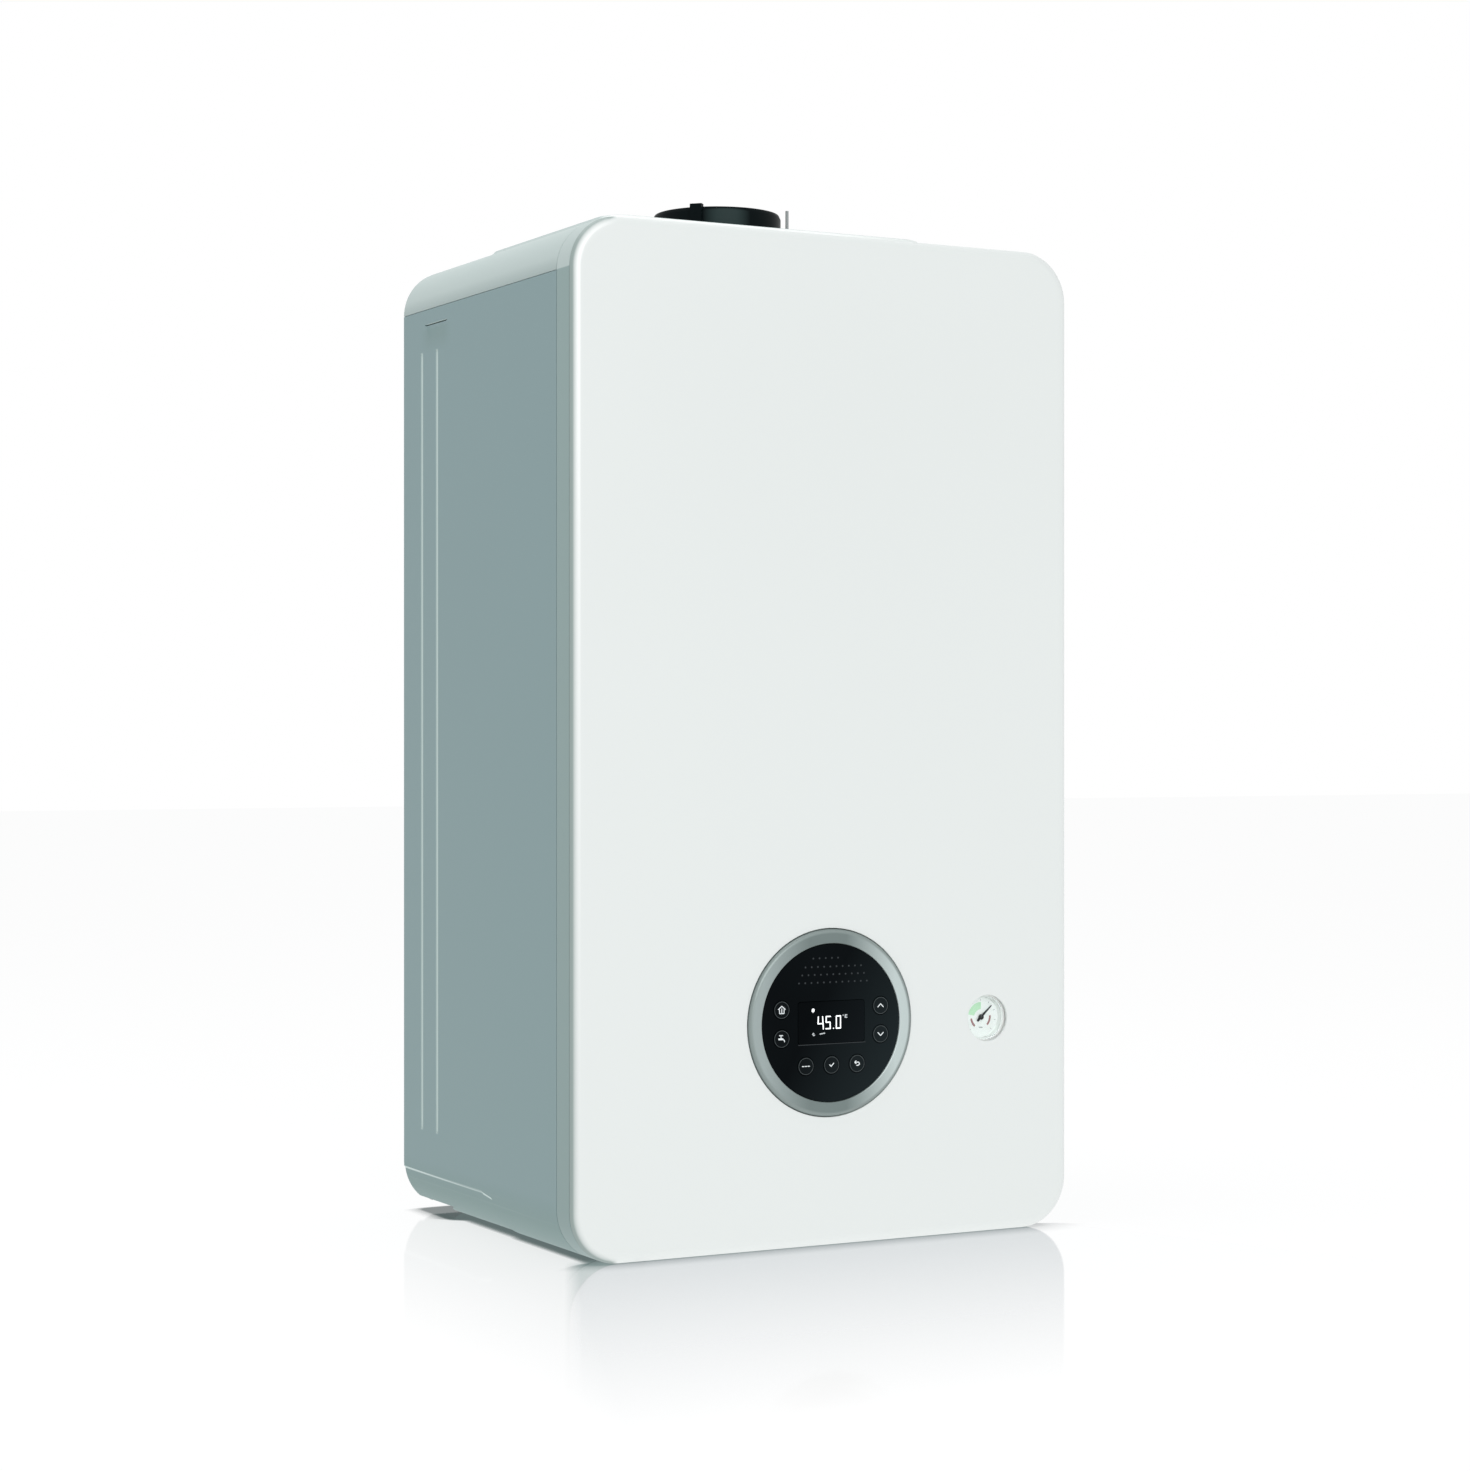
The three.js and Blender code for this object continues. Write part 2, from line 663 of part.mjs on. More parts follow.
// Everything in the casing's width and depth from one height to another.
function layer(bottom, top) {
  return box(-WIDTH, WIDTH, -DEPTH, DEPTH, bottom, top);
}

// The low rear part of a side, below its pressed ledge, seen from the side.
function ledgeRegion() {
  const kink = BACK - LEDGE_BACK_LENGTH;
  const slopeEnd = kink - LEDGE_SLOPE_LENGTH;
  const outline = outlineThrough([
    [BACK + OVERRUN, LEDGE_HEIGHT],
    [kink, LEDGE_HEIGHT],
    [slopeEnd, LEDGE_HEIGHT - LEDGE_SLOPE_DROP],
    [slopeEnd - LEDGE_SLOPE_DROP, -OVERRUN],
    [BACK + OVERRUN, -OVERRUN],
  ]);
  return profileAcross(outline, -HALF_WIDTH - OVERRUN, 0);
}

// A shallow upright groove pressed into the left side.
function bead(y) {
  const radius = (BEAD_WIDTH ** 2 / 4 + BEAD_DEPTH ** 2) / (2 * BEAD_DEPTH);
  const x = -HALF_WIDTH - radius + BEAD_DEPTH;
  return rodAlongZ(radius, BEAD_BOTTOM, BEAD_TOP, x, y);
}

// The finger slit near the top of the left side, with the scoop pressed in under it.
function slitAndScoop() {
  const back = BACK - SLIT_BACK_INSET + SLIT_LENGTH / 2;
  const front = back - SLIT_LENGTH;
  const slitTop = SLIT_ABOVE_SCOOP + SLIT_HEIGHT;
  const outer = -HALF_WIDTH - OVERRUN;
  const slit = box(outer, -INNER_HALF + SIDE_SHEET, front, back, SLIT_ABOVE_SCOOP, slitTop);
  const scoop = outlineThrough([
    [-HALF_WIDTH, SLIT_ABOVE_SCOOP - SCOOP_HEIGHT],
    [-HALF_WIDTH + SCOOP_DEPTH, SLIT_ABOVE_SCOOP],
    [outer, SLIT_ABOVE_SCOOP],
    [outer, SLIT_ABOVE_SCOOP - SCOOP_HEIGHT],
  ]);
  return joined(slit, slab(scoop, front, back));
}

function leftSidePanel() {
  const liftFrom = BACK - REAR_LIFT_LENGTH;
  const skin = ledgeRegion().subtract(casingSlab(LEDGE_INSET, -DEPTH, DEPTH));
  const full = casingSlab(0, SIDE_FRONT, BACK);
  const raised = box(-WIDTH, WIDTH, liftFrom, DEPTH, -OVERRUN, REAR_LIFT);
  const hollow = casingSlab(SIDE_SHEET, SIDE_FRONT - OVERRUN, BACK + OVERRUN);
  const floor = box(-WIDTH, WIDTH, liftFrom - SIDE_SHEET, DEPTH, 0, REAR_LIFT + SIDE_SHEET);
  const beads = [0, BEAD_PITCH].map((pitch) => bead(BACK - BEAD_BACK_INSET - pitch));
  const shell = cut(full, skin, raised, hollow.subtract(floor), ...beads, slitAndScoop());
  const kept = box(-WIDTH, -HALF_WIDTH + SIDE_LIP, -DEPTH, DEPTH, -OVERRUN, SHOULDER);
  return shell.intersect(kept);
}

function plateauSolid(inset, top) {
  const shape = roundedOutline(
    PLATEAU_LEFT_INSET - HALF_WIDTH + inset, PLATEAU_RIGHT_WIDTH - inset,
    SIDE_FRONT + PLATEAU_FRONT_INSET + inset, BACK - PLATEAU_BACK_INSET - inset, PLATEAU_RADIUS);
  const bevel = { bevelEnabled: true, bevelThickness: PLATEAU_RISE, bevelSize: PLATEAU_SLOPE,
    bevelSegments: 1 };
  const geometry = extruded(shape, PLATEAU_RISE, 2, bevel);
  return solid(geometry.translate(0, 0, top - 2 * PLATEAU_RISE));
}

function topCover() {
  const bottom = SHOULDER + SEAM;
  const outer = joined(casingSlab(0, SIDE_FRONT, BACK), plateauSolid(0, PLATEAU_TOP));
  const hollow = casingSlab(SIDE_SHEET, SIDE_FRONT - OVERRUN, BACK_PANEL_FRONT);
  const raisedHollow = plateauSolid(SIDE_SHEET, PLATEAU_TOP - SIDE_SHEET);
  const hole = rodAlongZ(ADAPTER_RADIUS, SHOULDER, ADAPTER_TOP, FLUE_X, FLUE_Y, SIDES_LARGE);
  const roof = cut(outer, hollow, raisedHollow, hole).intersect(layer(bottom, ADAPTER_TOP));
  const lapOuter = casingSlab(SIDE_SHEET + GAP, SIDE_FRONT, BACK);
  const lapHollow = casingSlab(SIDE_SHEET + GAP + SHEET, -DEPTH, BACK_PANEL_FRONT);
  const lap = cut(lapOuter, lapHollow).intersect(layer(SHOULDER - LAP_HEIGHT, SHOULDER + LAP_HEIGHT));
  const rootOuter = casingSlab(SHEET, SIDE_FRONT, BACK);
  const root = cut(rootOuter, lapHollow).intersect(layer(bottom, SHOULDER + LAP_HEIGHT));
  return joined(roof, lap, root);
}

function backPanel() {
  const top = SHOULDER - LAP_HEIGHT - GAP;
  const lipTop = REAR_LIFT + SIDE_SHEET + GAP;
  const sheet = casingSlab(SIDE_SHEET + GAP, BACK_PANEL_FRONT, BACK).intersect(layer(lipTop, top));
  const footHalf = HALF_WIDTH - SIDE_LIP - GAP;
  const foot = box(-footHalf, footHalf, BACK_PANEL_FRONT, BACK, 0, BASE_HEIGHT);
  const slots = [-1, 1].map((side) => hookSlot((side * HOOK_SPACING) / 2));
  return joined(cut(joined(sheet, foot), ...slots), drumBracket());
}

// The tray, welded to the back panel, that the drum is bolted to.
function drumBracket() {
  const half = HANGER_WIDTH / 2;
  const bottom = DRUM_HEIGHT + HANGER_RISE - HANGER_HEIGHT / 2;
  const front = DRUM_BACK + GAP;
  const outer = box(-half, half, front, BACK_PANEL_FRONT + SHEET / 2, bottom, bottom + HANGER_HEIGHT);
  const inner = box(
    HANGER_SHEET - half, half - HANGER_SHEET, front + HANGER_SHEET, DEPTH, bottom - OVERRUN,
    bottom + HANGER_HEIGHT - HANGER_SHEET);
  return cut(outer, inner);
}

function hookSlot(x) {
  const half = HOOK_SLOT_WIDTH / 2;
  const top = HOOK_HEIGHT + HOOK_SLOT_HEIGHT / 2;
  return box(x - half, x + half, 0, DEPTH, top - HOOK_SLOT_HEIGHT, top);
}

function basePlate() {
  const front = FRONT + BASE_FRONT_INSET;
  const sheet = casingSlab(SIDE_SHEET + GAP, front, BACK_PANEL_FRONT - GAP);
  const holes = [-2, -1, 0, 1, 2].map((step) =>
    rodAlongZ(STUB_RADIUS + STUB_COLLAR + STUB_CLEARANCE, 0, PLATES_HEIGHT, step * STUB_PITCH, STUB_Y,
      SIDES_SMALL));
  const outlet = rodAlongZ(TRAP_OUTLET_RADIUS + STUB_CLEARANCE, 0, PLATES_HEIGHT, TRAP_X, TRAP_Y,
    SIDES_SMALL);
  return cut(sheet.intersect(layer(BASE_HEIGHT, BASE_TOP)), ...holes, outlet);
}

// The front cross rail: an angle with the two ears that the control box turns in.
// Its upright leaves out the width that the box swings down through.
function bottomRail() {
  const bottom = BASE_TOP + GAP;
  const back = RAIL_FRONT + RAIL_DEPTH;
  const half = HALF_WIDTH - SIDE_SHEET - GAP;
  const full = box(-half, half, RAIL_FRONT, RAIL_FRONT + SHEET, bottom, RAIL_TOP);
  const swing = box(-HINGE_EAR_X, HINGE_EAR_X, -DEPTH, 0, bottom, HINGE_HEIGHT);
  const upright = full.subtract(swing);
  const foot = box(-half, half, RAIL_FRONT, back, bottom, bottom + SHEET);
  const ears = [hingeEar(HINGE_EAR_X), hingeEar(-HINGE_EAR_X - HINGE_EAR_SHEET)];
  const rail = joined(upright, foot, ...ears);
  return rail.intersect(casingSlab(SIDE_SHEET + GAP, SIDE_FRONT, BACK));
}

function hingeEar(left) {
  const right = left + HINGE_EAR_SHEET;
  const half = HINGE_EAR_SIDE / 2;
  const web = box(left, right, RAIL_FRONT, HINGE_Y + half, BASE_TOP + GAP, HINGE_HEIGHT);
  const eye = rodAlongX(half, left, right, HINGE_Y, HINGE_HEIGHT);
  const radius = HINGE_PIN_RADIUS + HINGE_CLEARANCE;
  return cut(joined(web, eye), rodAlongX(radius, -WIDTH, WIDTH, HINGE_Y, HINGE_HEIGHT));
}

// The spring catch under the top cover that a stud of the front cover pushes into.
function coverCatch(x) {
  const front = FRONT + CATCH_SET_BACK;
  const half = CATCH_SIDE / 2;
  const top = HEIGHT - SIDE_SHEET - GAP;
  const body = box(x - half, x + half, front, front + CATCH_LENGTH, top - CATCH_SIDE, top);
  const bore = rodAlongY(COVER_STUD_RADIUS + GAP, -DEPTH, DEPTH, x, top - half, SIDES_SMALL);
  const mouth = box(x - COVER_STUD_RADIUS / 2, x + COVER_STUD_RADIUS / 2, -DEPTH, DEPTH, 0, top - half);
  return cut(body, bore, mouth);
}

// A slab of the casing's outline whose front edge is rounded.
function softSlab(inset, front, back, radius) {
  const bevel = {
    bevelEnabled: true, bevelThickness: radius, bevelSize: radius, bevelOffset: -radius, bevelSegments: 2,
  };
  const depth = 2 * radius;
  const geometry = extruded(casingOutline(inset), depth, CORNER_STEPS, bevel);
  const made = solid(geometry.rotateX(RIGHT_ANGLE).translate(0, front + depth + radius, 0));
  return made.subtract(box(-WIDTH, WIDTH, back, back + DEPTH, -OVERRUN, HEIGHT + OVERRUN));
}

function frontPanel() {
  const outer = softSlab(0, FRONT, FRONT + PANEL_RIM, EDGE_RADIUS);
  const inner = softSlab(PANEL_SHEET, PANEL_BACK_FACE, FRONT + PANEL_RIM + OVERRUN,
    EDGE_RADIUS - PANEL_SHEET);
  const controlHole = rodAlongY(RING_RADIUS + RING_CLEARANCE, -DEPTH, 0, 0, RING_HEIGHT, SIDES_RING);
  const gaugeHole = rodAlongY(GAUGE_HOLE_RADIUS, -DEPTH, 0, GAUGE_X, GAUGE_Z, SIDES_LARGE);
  return cut(outer, inner, controlHole, gaugeHole);
}

function frontFrame() {
  const skirt = cut(casingSlab(0, FRAME_FRONT, FRAME_BACK), casingSlab(FRAME_WALL, -DEPTH, DEPTH));
  const lipBack = FRAME_FRONT + FRAME_WALL;
  const lip = cut(casingSlab(0, FRAME_FRONT, lipBack), casingSlab(FRAME_LIP, -DEPTH, DEPTH));
  const z = HEIGHT - SIDE_SHEET - GAP - CATCH_SIDE / 2;
  const studBack = lipBack + COVER_STUD_LENGTH;
  const studs = [-1, 1].map((side) =>
    rodAlongY(COVER_STUD_RADIUS, FRAME_FRONT, studBack, side * CATCH_X, z, SIDES_SMALL));
  return joined(skirt, lip, ...studs);
}

const casing = assembly();
const leftSide = leftSidePanel();
piece(casing, "side_panel_left", leftSide, finishes.grey);
piece(casing, "side_panel_right", mirrored(leftSide), finishes.grey);
piece(casing, "top_cover", topCover(), finishes.lightGrey);
piece(casing, "back_panel", backPanel(), finishes.steel);
piece(casing, "base_plate", basePlate(), finishes.steel);
piece(casing, "bottom_rail", bottomRail(), finishes.steel);
piece(casing, "cover_catch_left", coverCatch(-CATCH_X), finishes.steel);
piece(casing, "cover_catch_right", coverCatch(CATCH_X), finishes.steel);

const frontCover = assembly();
piece(frontCover, "front_panel", frontPanel(), finishes.white);
piece(frontCover, "front_frame", frontFrame(), finishes.flange);

// The seven keys, as places from the disc's centre.
const KEYS = {
  key_heating: [-KEY_SIDE_X, KEY_SIDE_HIGH],
  key_hot_water: [-KEY_SIDE_X, KEY_SIDE_LOW],
  key_up: [KEY_SIDE_X, KEY_SIDE_HIGH],
  key_down: [KEY_SIDE_X, KEY_SIDE_LOW],
  key_menu: [-KEY_ROW_X, -KEY_ROW_DROP],
  key_ok: [0, -KEY_ROW_DROP],
  key_back: [KEY_ROW_X, -KEY_ROW_DROP],
};

// The satin ring round the disc: proud at its inner edge and bevelled outwards.
function controlBezel() {
  const inner = RING_RADIUS - RING_WIDTH;
  const back = CONTROL_FRONT - GAP;
  return turnedAlongY([
    [inner, RING_FRONT + RING_BEVEL / 2],
    [inner + RING_BEVEL / 2, RING_FRONT],
    [RING_RADIUS - RING_BEVEL, RING_FRONT],
    [RING_RADIUS, RING_FRONT + RING_BEVEL],
    [RING_RADIUS, back],
    [inner, back],
    [inner, RING_FRONT + RING_BEVEL / 2],
  ], SIDES_RING);
}

function windowOutline(inset) {
  const halfWidth = WINDOW_WIDTH / 2 - inset;
  const halfHeight = WINDOW_HEIGHT / 2 - inset;
  return roundedOutline(-halfWidth, halfWidth, WINDOW_RISE - halfHeight, WINDOW_RISE + halfHeight,
    WINDOW_RADIUS);
}

function controlFascia() {
  const disc = rodAlongY(FASCIA_RADIUS, FASCIA_FRONT, FASCIA_BACK, 0, 0, SIDES_RING);
  const keyHoles = Object.values(KEYS).map(([x, z]) =>
    rodAlongY(KEY_RADIUS + KEY_CLEARANCE, -DEPTH, 0, x, z));
  const windowHole = slab(windowOutline(0), -DEPTH, 0, 2);
  const legs = [-1, 1].flatMap((side) => [-1, 1].map((end) => fasciaLeg(side, end)));
  return joined(cut(disc, windowHole, ...keyHoles), ...legs);
}

// A leg that carries the disc on the control box.
function fasciaLeg(side, end) {
  const reach = FASCIA_RADIUS * Math.SQRT1_2 - HINGE_PIN_RADIUS;
  const front = FASCIA_FRONT + FASCIA_SHEET / 2;
  return rodAlongY(HINGE_PIN_RADIUS, front, CONTROL_FRONT - GAP, side * reach, end * reach, SIDES_SMALL);
}

function displayWindow() {
  const glass = slab(windowOutline(FASCIA_CLEARANCE), FASCIA_FRONT, FASCIA_BACK, 2);
  const half = WINDOW_WIDTH / 2 + WINDOW_RADIUS;
  const tall = WINDOW_HEIGHT / 2 + WINDOW_RADIUS;
  const outline = roundedOutline(-half, half, WINDOW_RISE - tall, WINDOW_RISE + tall, WINDOW_RADIUS);
  const module = slab(outline, FASCIA_BACK + GAP, CONTROL_FRONT - GAP, 2);
  const neck = slab(windowOutline(WINDOW_RADIUS), FASCIA_BACK - GAP, FASCIA_BACK + DISPLAY_DEPTH, 2);
  return joined(glass, neck, module);
}

function controlKey() {
  const front = FASCIA_FRONT - KEY_PROUD;
  const back = FASCIA_BACK + GAP;
  return turnedAlongY([
    [0, front],
    [KEY_RADIUS - KEY_PROUD, front],
    [KEY_RADIUS, front + KEY_PROUD],
    [KEY_RADIUS, back],
    [KEY_RADIUS + KEY_FLANGE, back],
    [KEY_RADIUS + KEY_FLANGE, back + KEY_FLANGE_SHEET],
    [0, back + KEY_FLANGE_SHEET],
  ]);
}

function controlOutline() {
  const half = CONTROL_WIDTH / 2;
  return roundedOutline(-half, half, CONTROL_BOTTOM, CONTROL_BOTTOM + CONTROL_HEIGHT, 2 * CONTROL_WALL);
}

// The box behind the disc, open at its back, with the pins that it turns on.
function controlBox() {
  const half = CONTROL_WIDTH / 2;
  const top = CONTROL_BOTTOM + CONTROL_HEIGHT;
  const outer = slab(controlOutline(), CONTROL_FRONT, CONTROL_BACK, 2);
  const wall = CONTROL_WALL;
  const inner = box(wall - half, half - wall, CONTROL_FRONT + wall, DEPTH, CONTROL_BOTTOM + wall, top - wall);
  const cableHeight = CONTROL_BOTTOM + 2 * HINGE_EAR_SIDE;
  const cable = rodAlongX(2 * HINGE_PIN_RADIUS, -WIDTH, 0, HINGE_Y, cableHeight, SIDES_SMALL);
  const pins = [-1, 1].map((side) => hingePin(side, half));
  const posts = [-1, 1].flatMap((side) => [-1, 1].map((end) => boardPost(side, end)));
  return joined(cut(outer, inner, cable), ...pins, ...posts);
}

function hingePin(side, half) {
  const ends = [side * (half - CONTROL_WALL), side * (half + HINGE_PIN_LENGTH)];
  return rodAlongX(HINGE_PIN_RADIUS, Math.min(...ends), Math.max(...ends), HINGE_Y, HINGE_HEIGHT);
}

function boardPost(side, end) {
  const x = side * (CONTROL_WIDTH / 2 - 2 * BOARD_MARGIN);
  const z = CONTROL_BOTTOM + CONTROL_HEIGHT / 2 + end * (CONTROL_HEIGHT / 2 - 2 * BOARD_MARGIN);
  const front = CONTROL_FRONT + CONTROL_WALL / 2;
  return rodAlongY(HINGE_PIN_RADIUS, front, CONTROL_FRONT + BOARD_SET_BACK - GAP, x, z, SIDES_SMALL);
}

function controlLid() {
  const half = CONTROL_WIDTH / 2;
  const top = CONTROL_BOTTOM + CONTROL_HEIGHT;
  const front = CONTROL_BACK + GAP;
  const sheet = slab(controlOutline(), front, front + CONTROL_WALL, 2);
  const inset = CONTROL_WALL + GAP;
  const tongueTop = top - inset;
  const tongue = box(
    inset - half, half - inset, CONTROL_BACK - CONTROL_WALL, front, tongueTop - CONTROL_WALL, tongueTop);
  return joined(sheet, tongue);
}

// The main board with the blocky parts that stand on it.
function circuitBoard() {
  const half = CONTROL_WIDTH / 2 - BOARD_MARGIN;
  const bottom = CONTROL_BOTTOM + BOARD_MARGIN;
  const top = CONTROL_BOTTOM + CONTROL_HEIGHT - BOARD_MARGIN;
  const front = CONTROL_FRONT + BOARD_SET_BACK;
  const back = front + BOARD_SHEET;
  const sheet = box(-half, half, front, back, bottom, top);
  const unit = half / 4;
  const transformer = box(unit, 3 * unit, front, back + unit, bottom + unit, bottom + 3 * unit);
  const plugs = box(-half + unit / 2, 0, front, back + unit / 2, bottom + BOARD_SHEET, bottom + unit);
  const relays = [1, 2, 3].map((step) => {
    const left = -half + step * unit;
    return box(left, left + unit * RELAY_WIDTH_SHARE, front, back + unit * RELAY_DEPTH_SHARE,
      top - 2 * unit, top - unit);
  });
  const capacitors = [1, 2].map((step) =>
    rodAlongY(unit / 3, front, back + unit, step * unit, top - unit, SIDES_SMALL));
  return joined(sheet, transformer, plugs, ...relays, ...capacitors);
}

const controlUnit = assembly();
piece(controlUnit, "control_box", controlBox(), finishes.greyPlastic);
piece(controlUnit, "control_lid", controlLid(), finishes.greyPlastic);
piece(controlUnit, "circuit_board", circuitBoard(), finishes.board);

const disc = assembly(0, 0, RING_HEIGHT);
piece(disc, "control_bezel", controlBezel(), finishes.satin);
piece(disc, "control_fascia", controlFascia(), finishes.gloss);
piece(disc, "display_window", displayWindow(), finishes.display);
const keyShape = controlKey();
for (const [name, [x, z]] of Object.entries(KEYS)) {
  piece(disc, name, keyShape, finishes.key).position.set(x, 0, z);
}

// Gauge: everything from here is placed from the middle of its dial.
const GAUGE_FRONT = FRONT + GAUGE_SET_BACK;
const DIAL_Y = GAUGE_FRONT + GAUGE_RECESS;
const GAUGE_BACK = GAUGE_FRONT + GAUGE_LENGTH;

function gaugeBody() {
  const bore = GAUGE_RADIUS - GAUGE_WALL;
  const stemEnd = GAUGE_BACK + GAUGE_STEM_LENGTH;
  const lensSeat = GAUGE_FRONT + GAUGE_LENS_SHEET + GAP;
  const cup = turnedAlongY([
    [bore, GAUGE_FRONT],
    [GAUGE_RADIUS, GAUGE_FRONT],
    [GAUGE_RADIUS, GAUGE_BACK],
    [GAUGE_STEM_RADIUS, GAUGE_BACK],
    [GAUGE_STEM_RADIUS, stemEnd],
    [0, stemEnd],
    [0, DIAL_Y],
    [bore - GAUGE_WALL / 3, DIAL_Y],
    [bore - GAUGE_WALL / 3, lensSeat],
    [bore, lensSeat],
    [bore, GAUGE_FRONT],
  ], SIDES_LARGE);
  const pivotHole = rodAlongY(NEEDLE_PIVOT_RADIUS + GAP, DIAL_Y - GAP, DIAL_Y + NEEDLE_PIVOT_LENGTH, 0,
    0, SIDES_SMALL);
  return cut(cup, pivotHole);
}

function gaugeNeedle() {
  const back = DIAL_Y - GAP;
  const front = back - NEEDLE_SHEET;
  const half = NEEDLE_WIDTH / 2;
  const pointer = outlineThrough([
    [-half, -NEEDLE_TAIL], [half, -NEEDLE_TAIL], [half, 0],
    [half / 4, NEEDLE_LENGTH], [-half / 4, NEEDLE_LENGTH], [-half, 0],
  ]);
  const hub = rodAlongY(NEEDLE_HUB_RADIUS, front - NEEDLE_SHEET / 2, back, 0, 0, SIDES_SMALL);
  const pivot = rodAlongY(NEEDLE_PIVOT_RADIUS, front, DIAL_Y + NEEDLE_PIVOT_LENGTH - GAP, 0, 0, SIDES_SMALL);
  const made = joined(slab(pointer, front, back), hub, pivot);
  return turnedAboutY(made, radians(NEEDLE_ANGLE_DEG));
}

function gaugeLens() {
  const radius = GAUGE_RADIUS - GAUGE_WALL - GAP;
  return rodAlongY(radius, GAUGE_FRONT, GAUGE_FRONT + GAUGE_LENS_SHEET, 0, 0, SIDES_LARGE);
}

// The strip that stands on the bottom rail and carries the gauge.
function gaugeBracket() {
  const front = GAUGE_BACK + GAP;
  const half = BRACKET_WIDTH / 2;
  const foot = BASE_TOP + SHEET + 2 * GAP - GAUGE_Z;
  const top = GAUGE_RADIUS + OVERRUN;
  const outline = roundedOutline(-half, half, foot - half, top, half / 2);
  const strip = slab(outline, front, front + BRACKET_SHEET,
    2).intersect(box(-half, half, -DEPTH, DEPTH, foot, top));
  return cut(strip, rodAlongY(GAUGE_STEM_RADIUS + GAP, -DEPTH, DEPTH, 0, 0));
}

const gauge = assembly(GAUGE_X, 0, GAUGE_Z);
piece(gauge, "gauge_body", gaugeBody(), finishes.dial);
piece(gauge, "gauge_needle", gaugeNeedle(), finishes.needle);
piece(gauge, "gauge_lens", gaugeLens(), finishes.glass);
piece(gauge, "gauge_bracket", gaugeBracket(), finishes.steel);

// Flue: the adapter stands on the top cover, over the duct that rises from the drum.
const FLANGE_BOTTOM = PLATEAU_TOP + GAP;
const FLANGE_TOP = FLANGE_BOTTOM + ADAPTER_FLANGE_SHEET;
const SOCKET_TOP = ADAPTER_TOP - SOCKET_DEPTH / 2;
const DUCT_TOP = FLANGE_BOTTOM - SEAL_SECTION;
const DUCT_RADIUS = SOCKET_RADIUS - SOCKET_WALL - SEAL_SECTION;
const DRUM_OUTER = DRUM_RADIUS + DRUM_RIB;

// The concentric adapter: air goes down between its walls, flue gas comes up inside.
function flueAdapter() {
  const wallInner = ADAPTER_RADIUS - ADAPTER_WALL;
  const outer = turnedAlongZ([
    [wallInner, FLANGE_BOTTOM],
    [ADAPTER_FLANGE_RADIUS, FLANGE_BOTTOM],
    [ADAPTER_FLANGE_RADIUS, FLANGE_TOP],
    [ADAPTER_RADIUS, FLANGE_TOP],
    [ADAPTER_RADIUS, ADAPTER_TOP - ADAPTER_RIM],
    [ADAPTER_RADIUS - ADAPTER_RIM_WALL, ADAPTER_TOP],
    [wallInner, ADAPTER_TOP],
    [wallInner, FLANGE_BOTTOM],
  ], SIDES_LARGE);
  const socket = turnedAlongZ([
    [SOCKET_RADIUS - SOCKET_WALL, FLANGE_BOTTOM],
    [SOCKET_RADIUS, FLANGE_BOTTOM],
    [SOCKET_RADIUS, SOCKET_TOP],
    [SOCKET_RADIUS - SOCKET_WALL, SOCKET_TOP],
    [SOCKET_RADIUS - SOCKET_WALL, FLANGE_BOTTOM],
  ], SIDES_MEDIUM);
  const half = RIB_SHEET / 2;
  const reach = ADAPTER_RADIUS - ADAPTER_WALL / 2;
  const top = SOCKET_TOP - SOCKET_DEPTH;
  const bars = joined(
    box(-reach, reach, -half, half, FLANGE_BOTTOM, top), box(-half, half, -reach, reach, FLANGE_BOTTOM, top));
  const ribs = bars.subtract(rodAlongZ(SOCKET_RADIUS - SOCKET_WALL / 2, 0, HEIGHT + ADAPTER_TOP, 0, 0));
  const clipHole = rodAlongZ(CLIP_RADIUS + GAP, FLANGE_BOTTOM + SHEET, ADAPTER_TOP, CLIP_X - FLUE_X, 0,
    SIDES_SMALL);
  return cut(joined(outer, socket, ribs, bayonetLug()), clipHole);
}

// The lug that runs down the adapter's outer wall and stands above its rim.
function bayonetLug() {
  const top = ADAPTER_TOP + LUG_PROUD;
  const half = LUG_WIDTH / 2;
  const inner = ADAPTER_RADIUS - ADAPTER_WALL;
  const made = box(-half, half, -ADAPTER_RADIUS - LUG_DEPTH / 2, -inner, top - LUG_LENGTH, top);
  return solid(geometryOf(made).rotateZ(radians(-LUG_ANGLE_DEG)));
}

// The wire that holds the flue pipe in the adapter: upright, with a foot in the flange.
function flueClip() {
  const foot = FLANGE_BOTTOM + SHEET + GAP;
  const bottom = FLANGE_TOP + CLIP_RADIUS + GAP;
  const path = route([[0, 0, CLIP_TOP], [0, 0, bottom], [CLIP_FOOT, 0, bottom]], CLIP_BEND);
  const pin = rodAlongZ(CLIP_RADIUS, foot, bottom + CLIP_BEND, 0, 0, PIPE_SIDES);
  return joined(tube(path, CLIP_RADIUS, SIDES_SMALL), pin);
}

function flueSeal() {
  const inner = DUCT_RADIUS;
  const outer = SOCKET_RADIUS;
  const bottom = DUCT_TOP + GAP;
  const top = FLANGE_BOTTOM - GAP;
  return turnedAlongZ([[inner, bottom], [outer, bottom], [outer, top], [inner, top], [inner, bottom]]);
}

function flueDuct() {
  const bore = DUCT_RADIUS;
  const outer = DUCT_RADIUS + DUCT_WALL;
  const bottom = DRUM_HEIGHT;
  const flangeTop = DRUM_HEIGHT + DRUM_OUTER + DUCT_FLANGE_HEIGHT;
  const tubeShape = turnedAlongZ([
    [bore, bottom],
    [outer + DUCT_FLANGE, bottom],
    [outer + DUCT_FLANGE, flangeTop],
    [outer, flangeTop],
    [outer, DUCT_TOP],
    [bore, DUCT_TOP],
    [bore, bottom],
  ]);
  return tubeShape.subtract(rodAlongY(DRUM_OUTER + GAP, -DEPTH, DEPTH, 0, DRUM_HEIGHT, SIDES_DRUM));
}

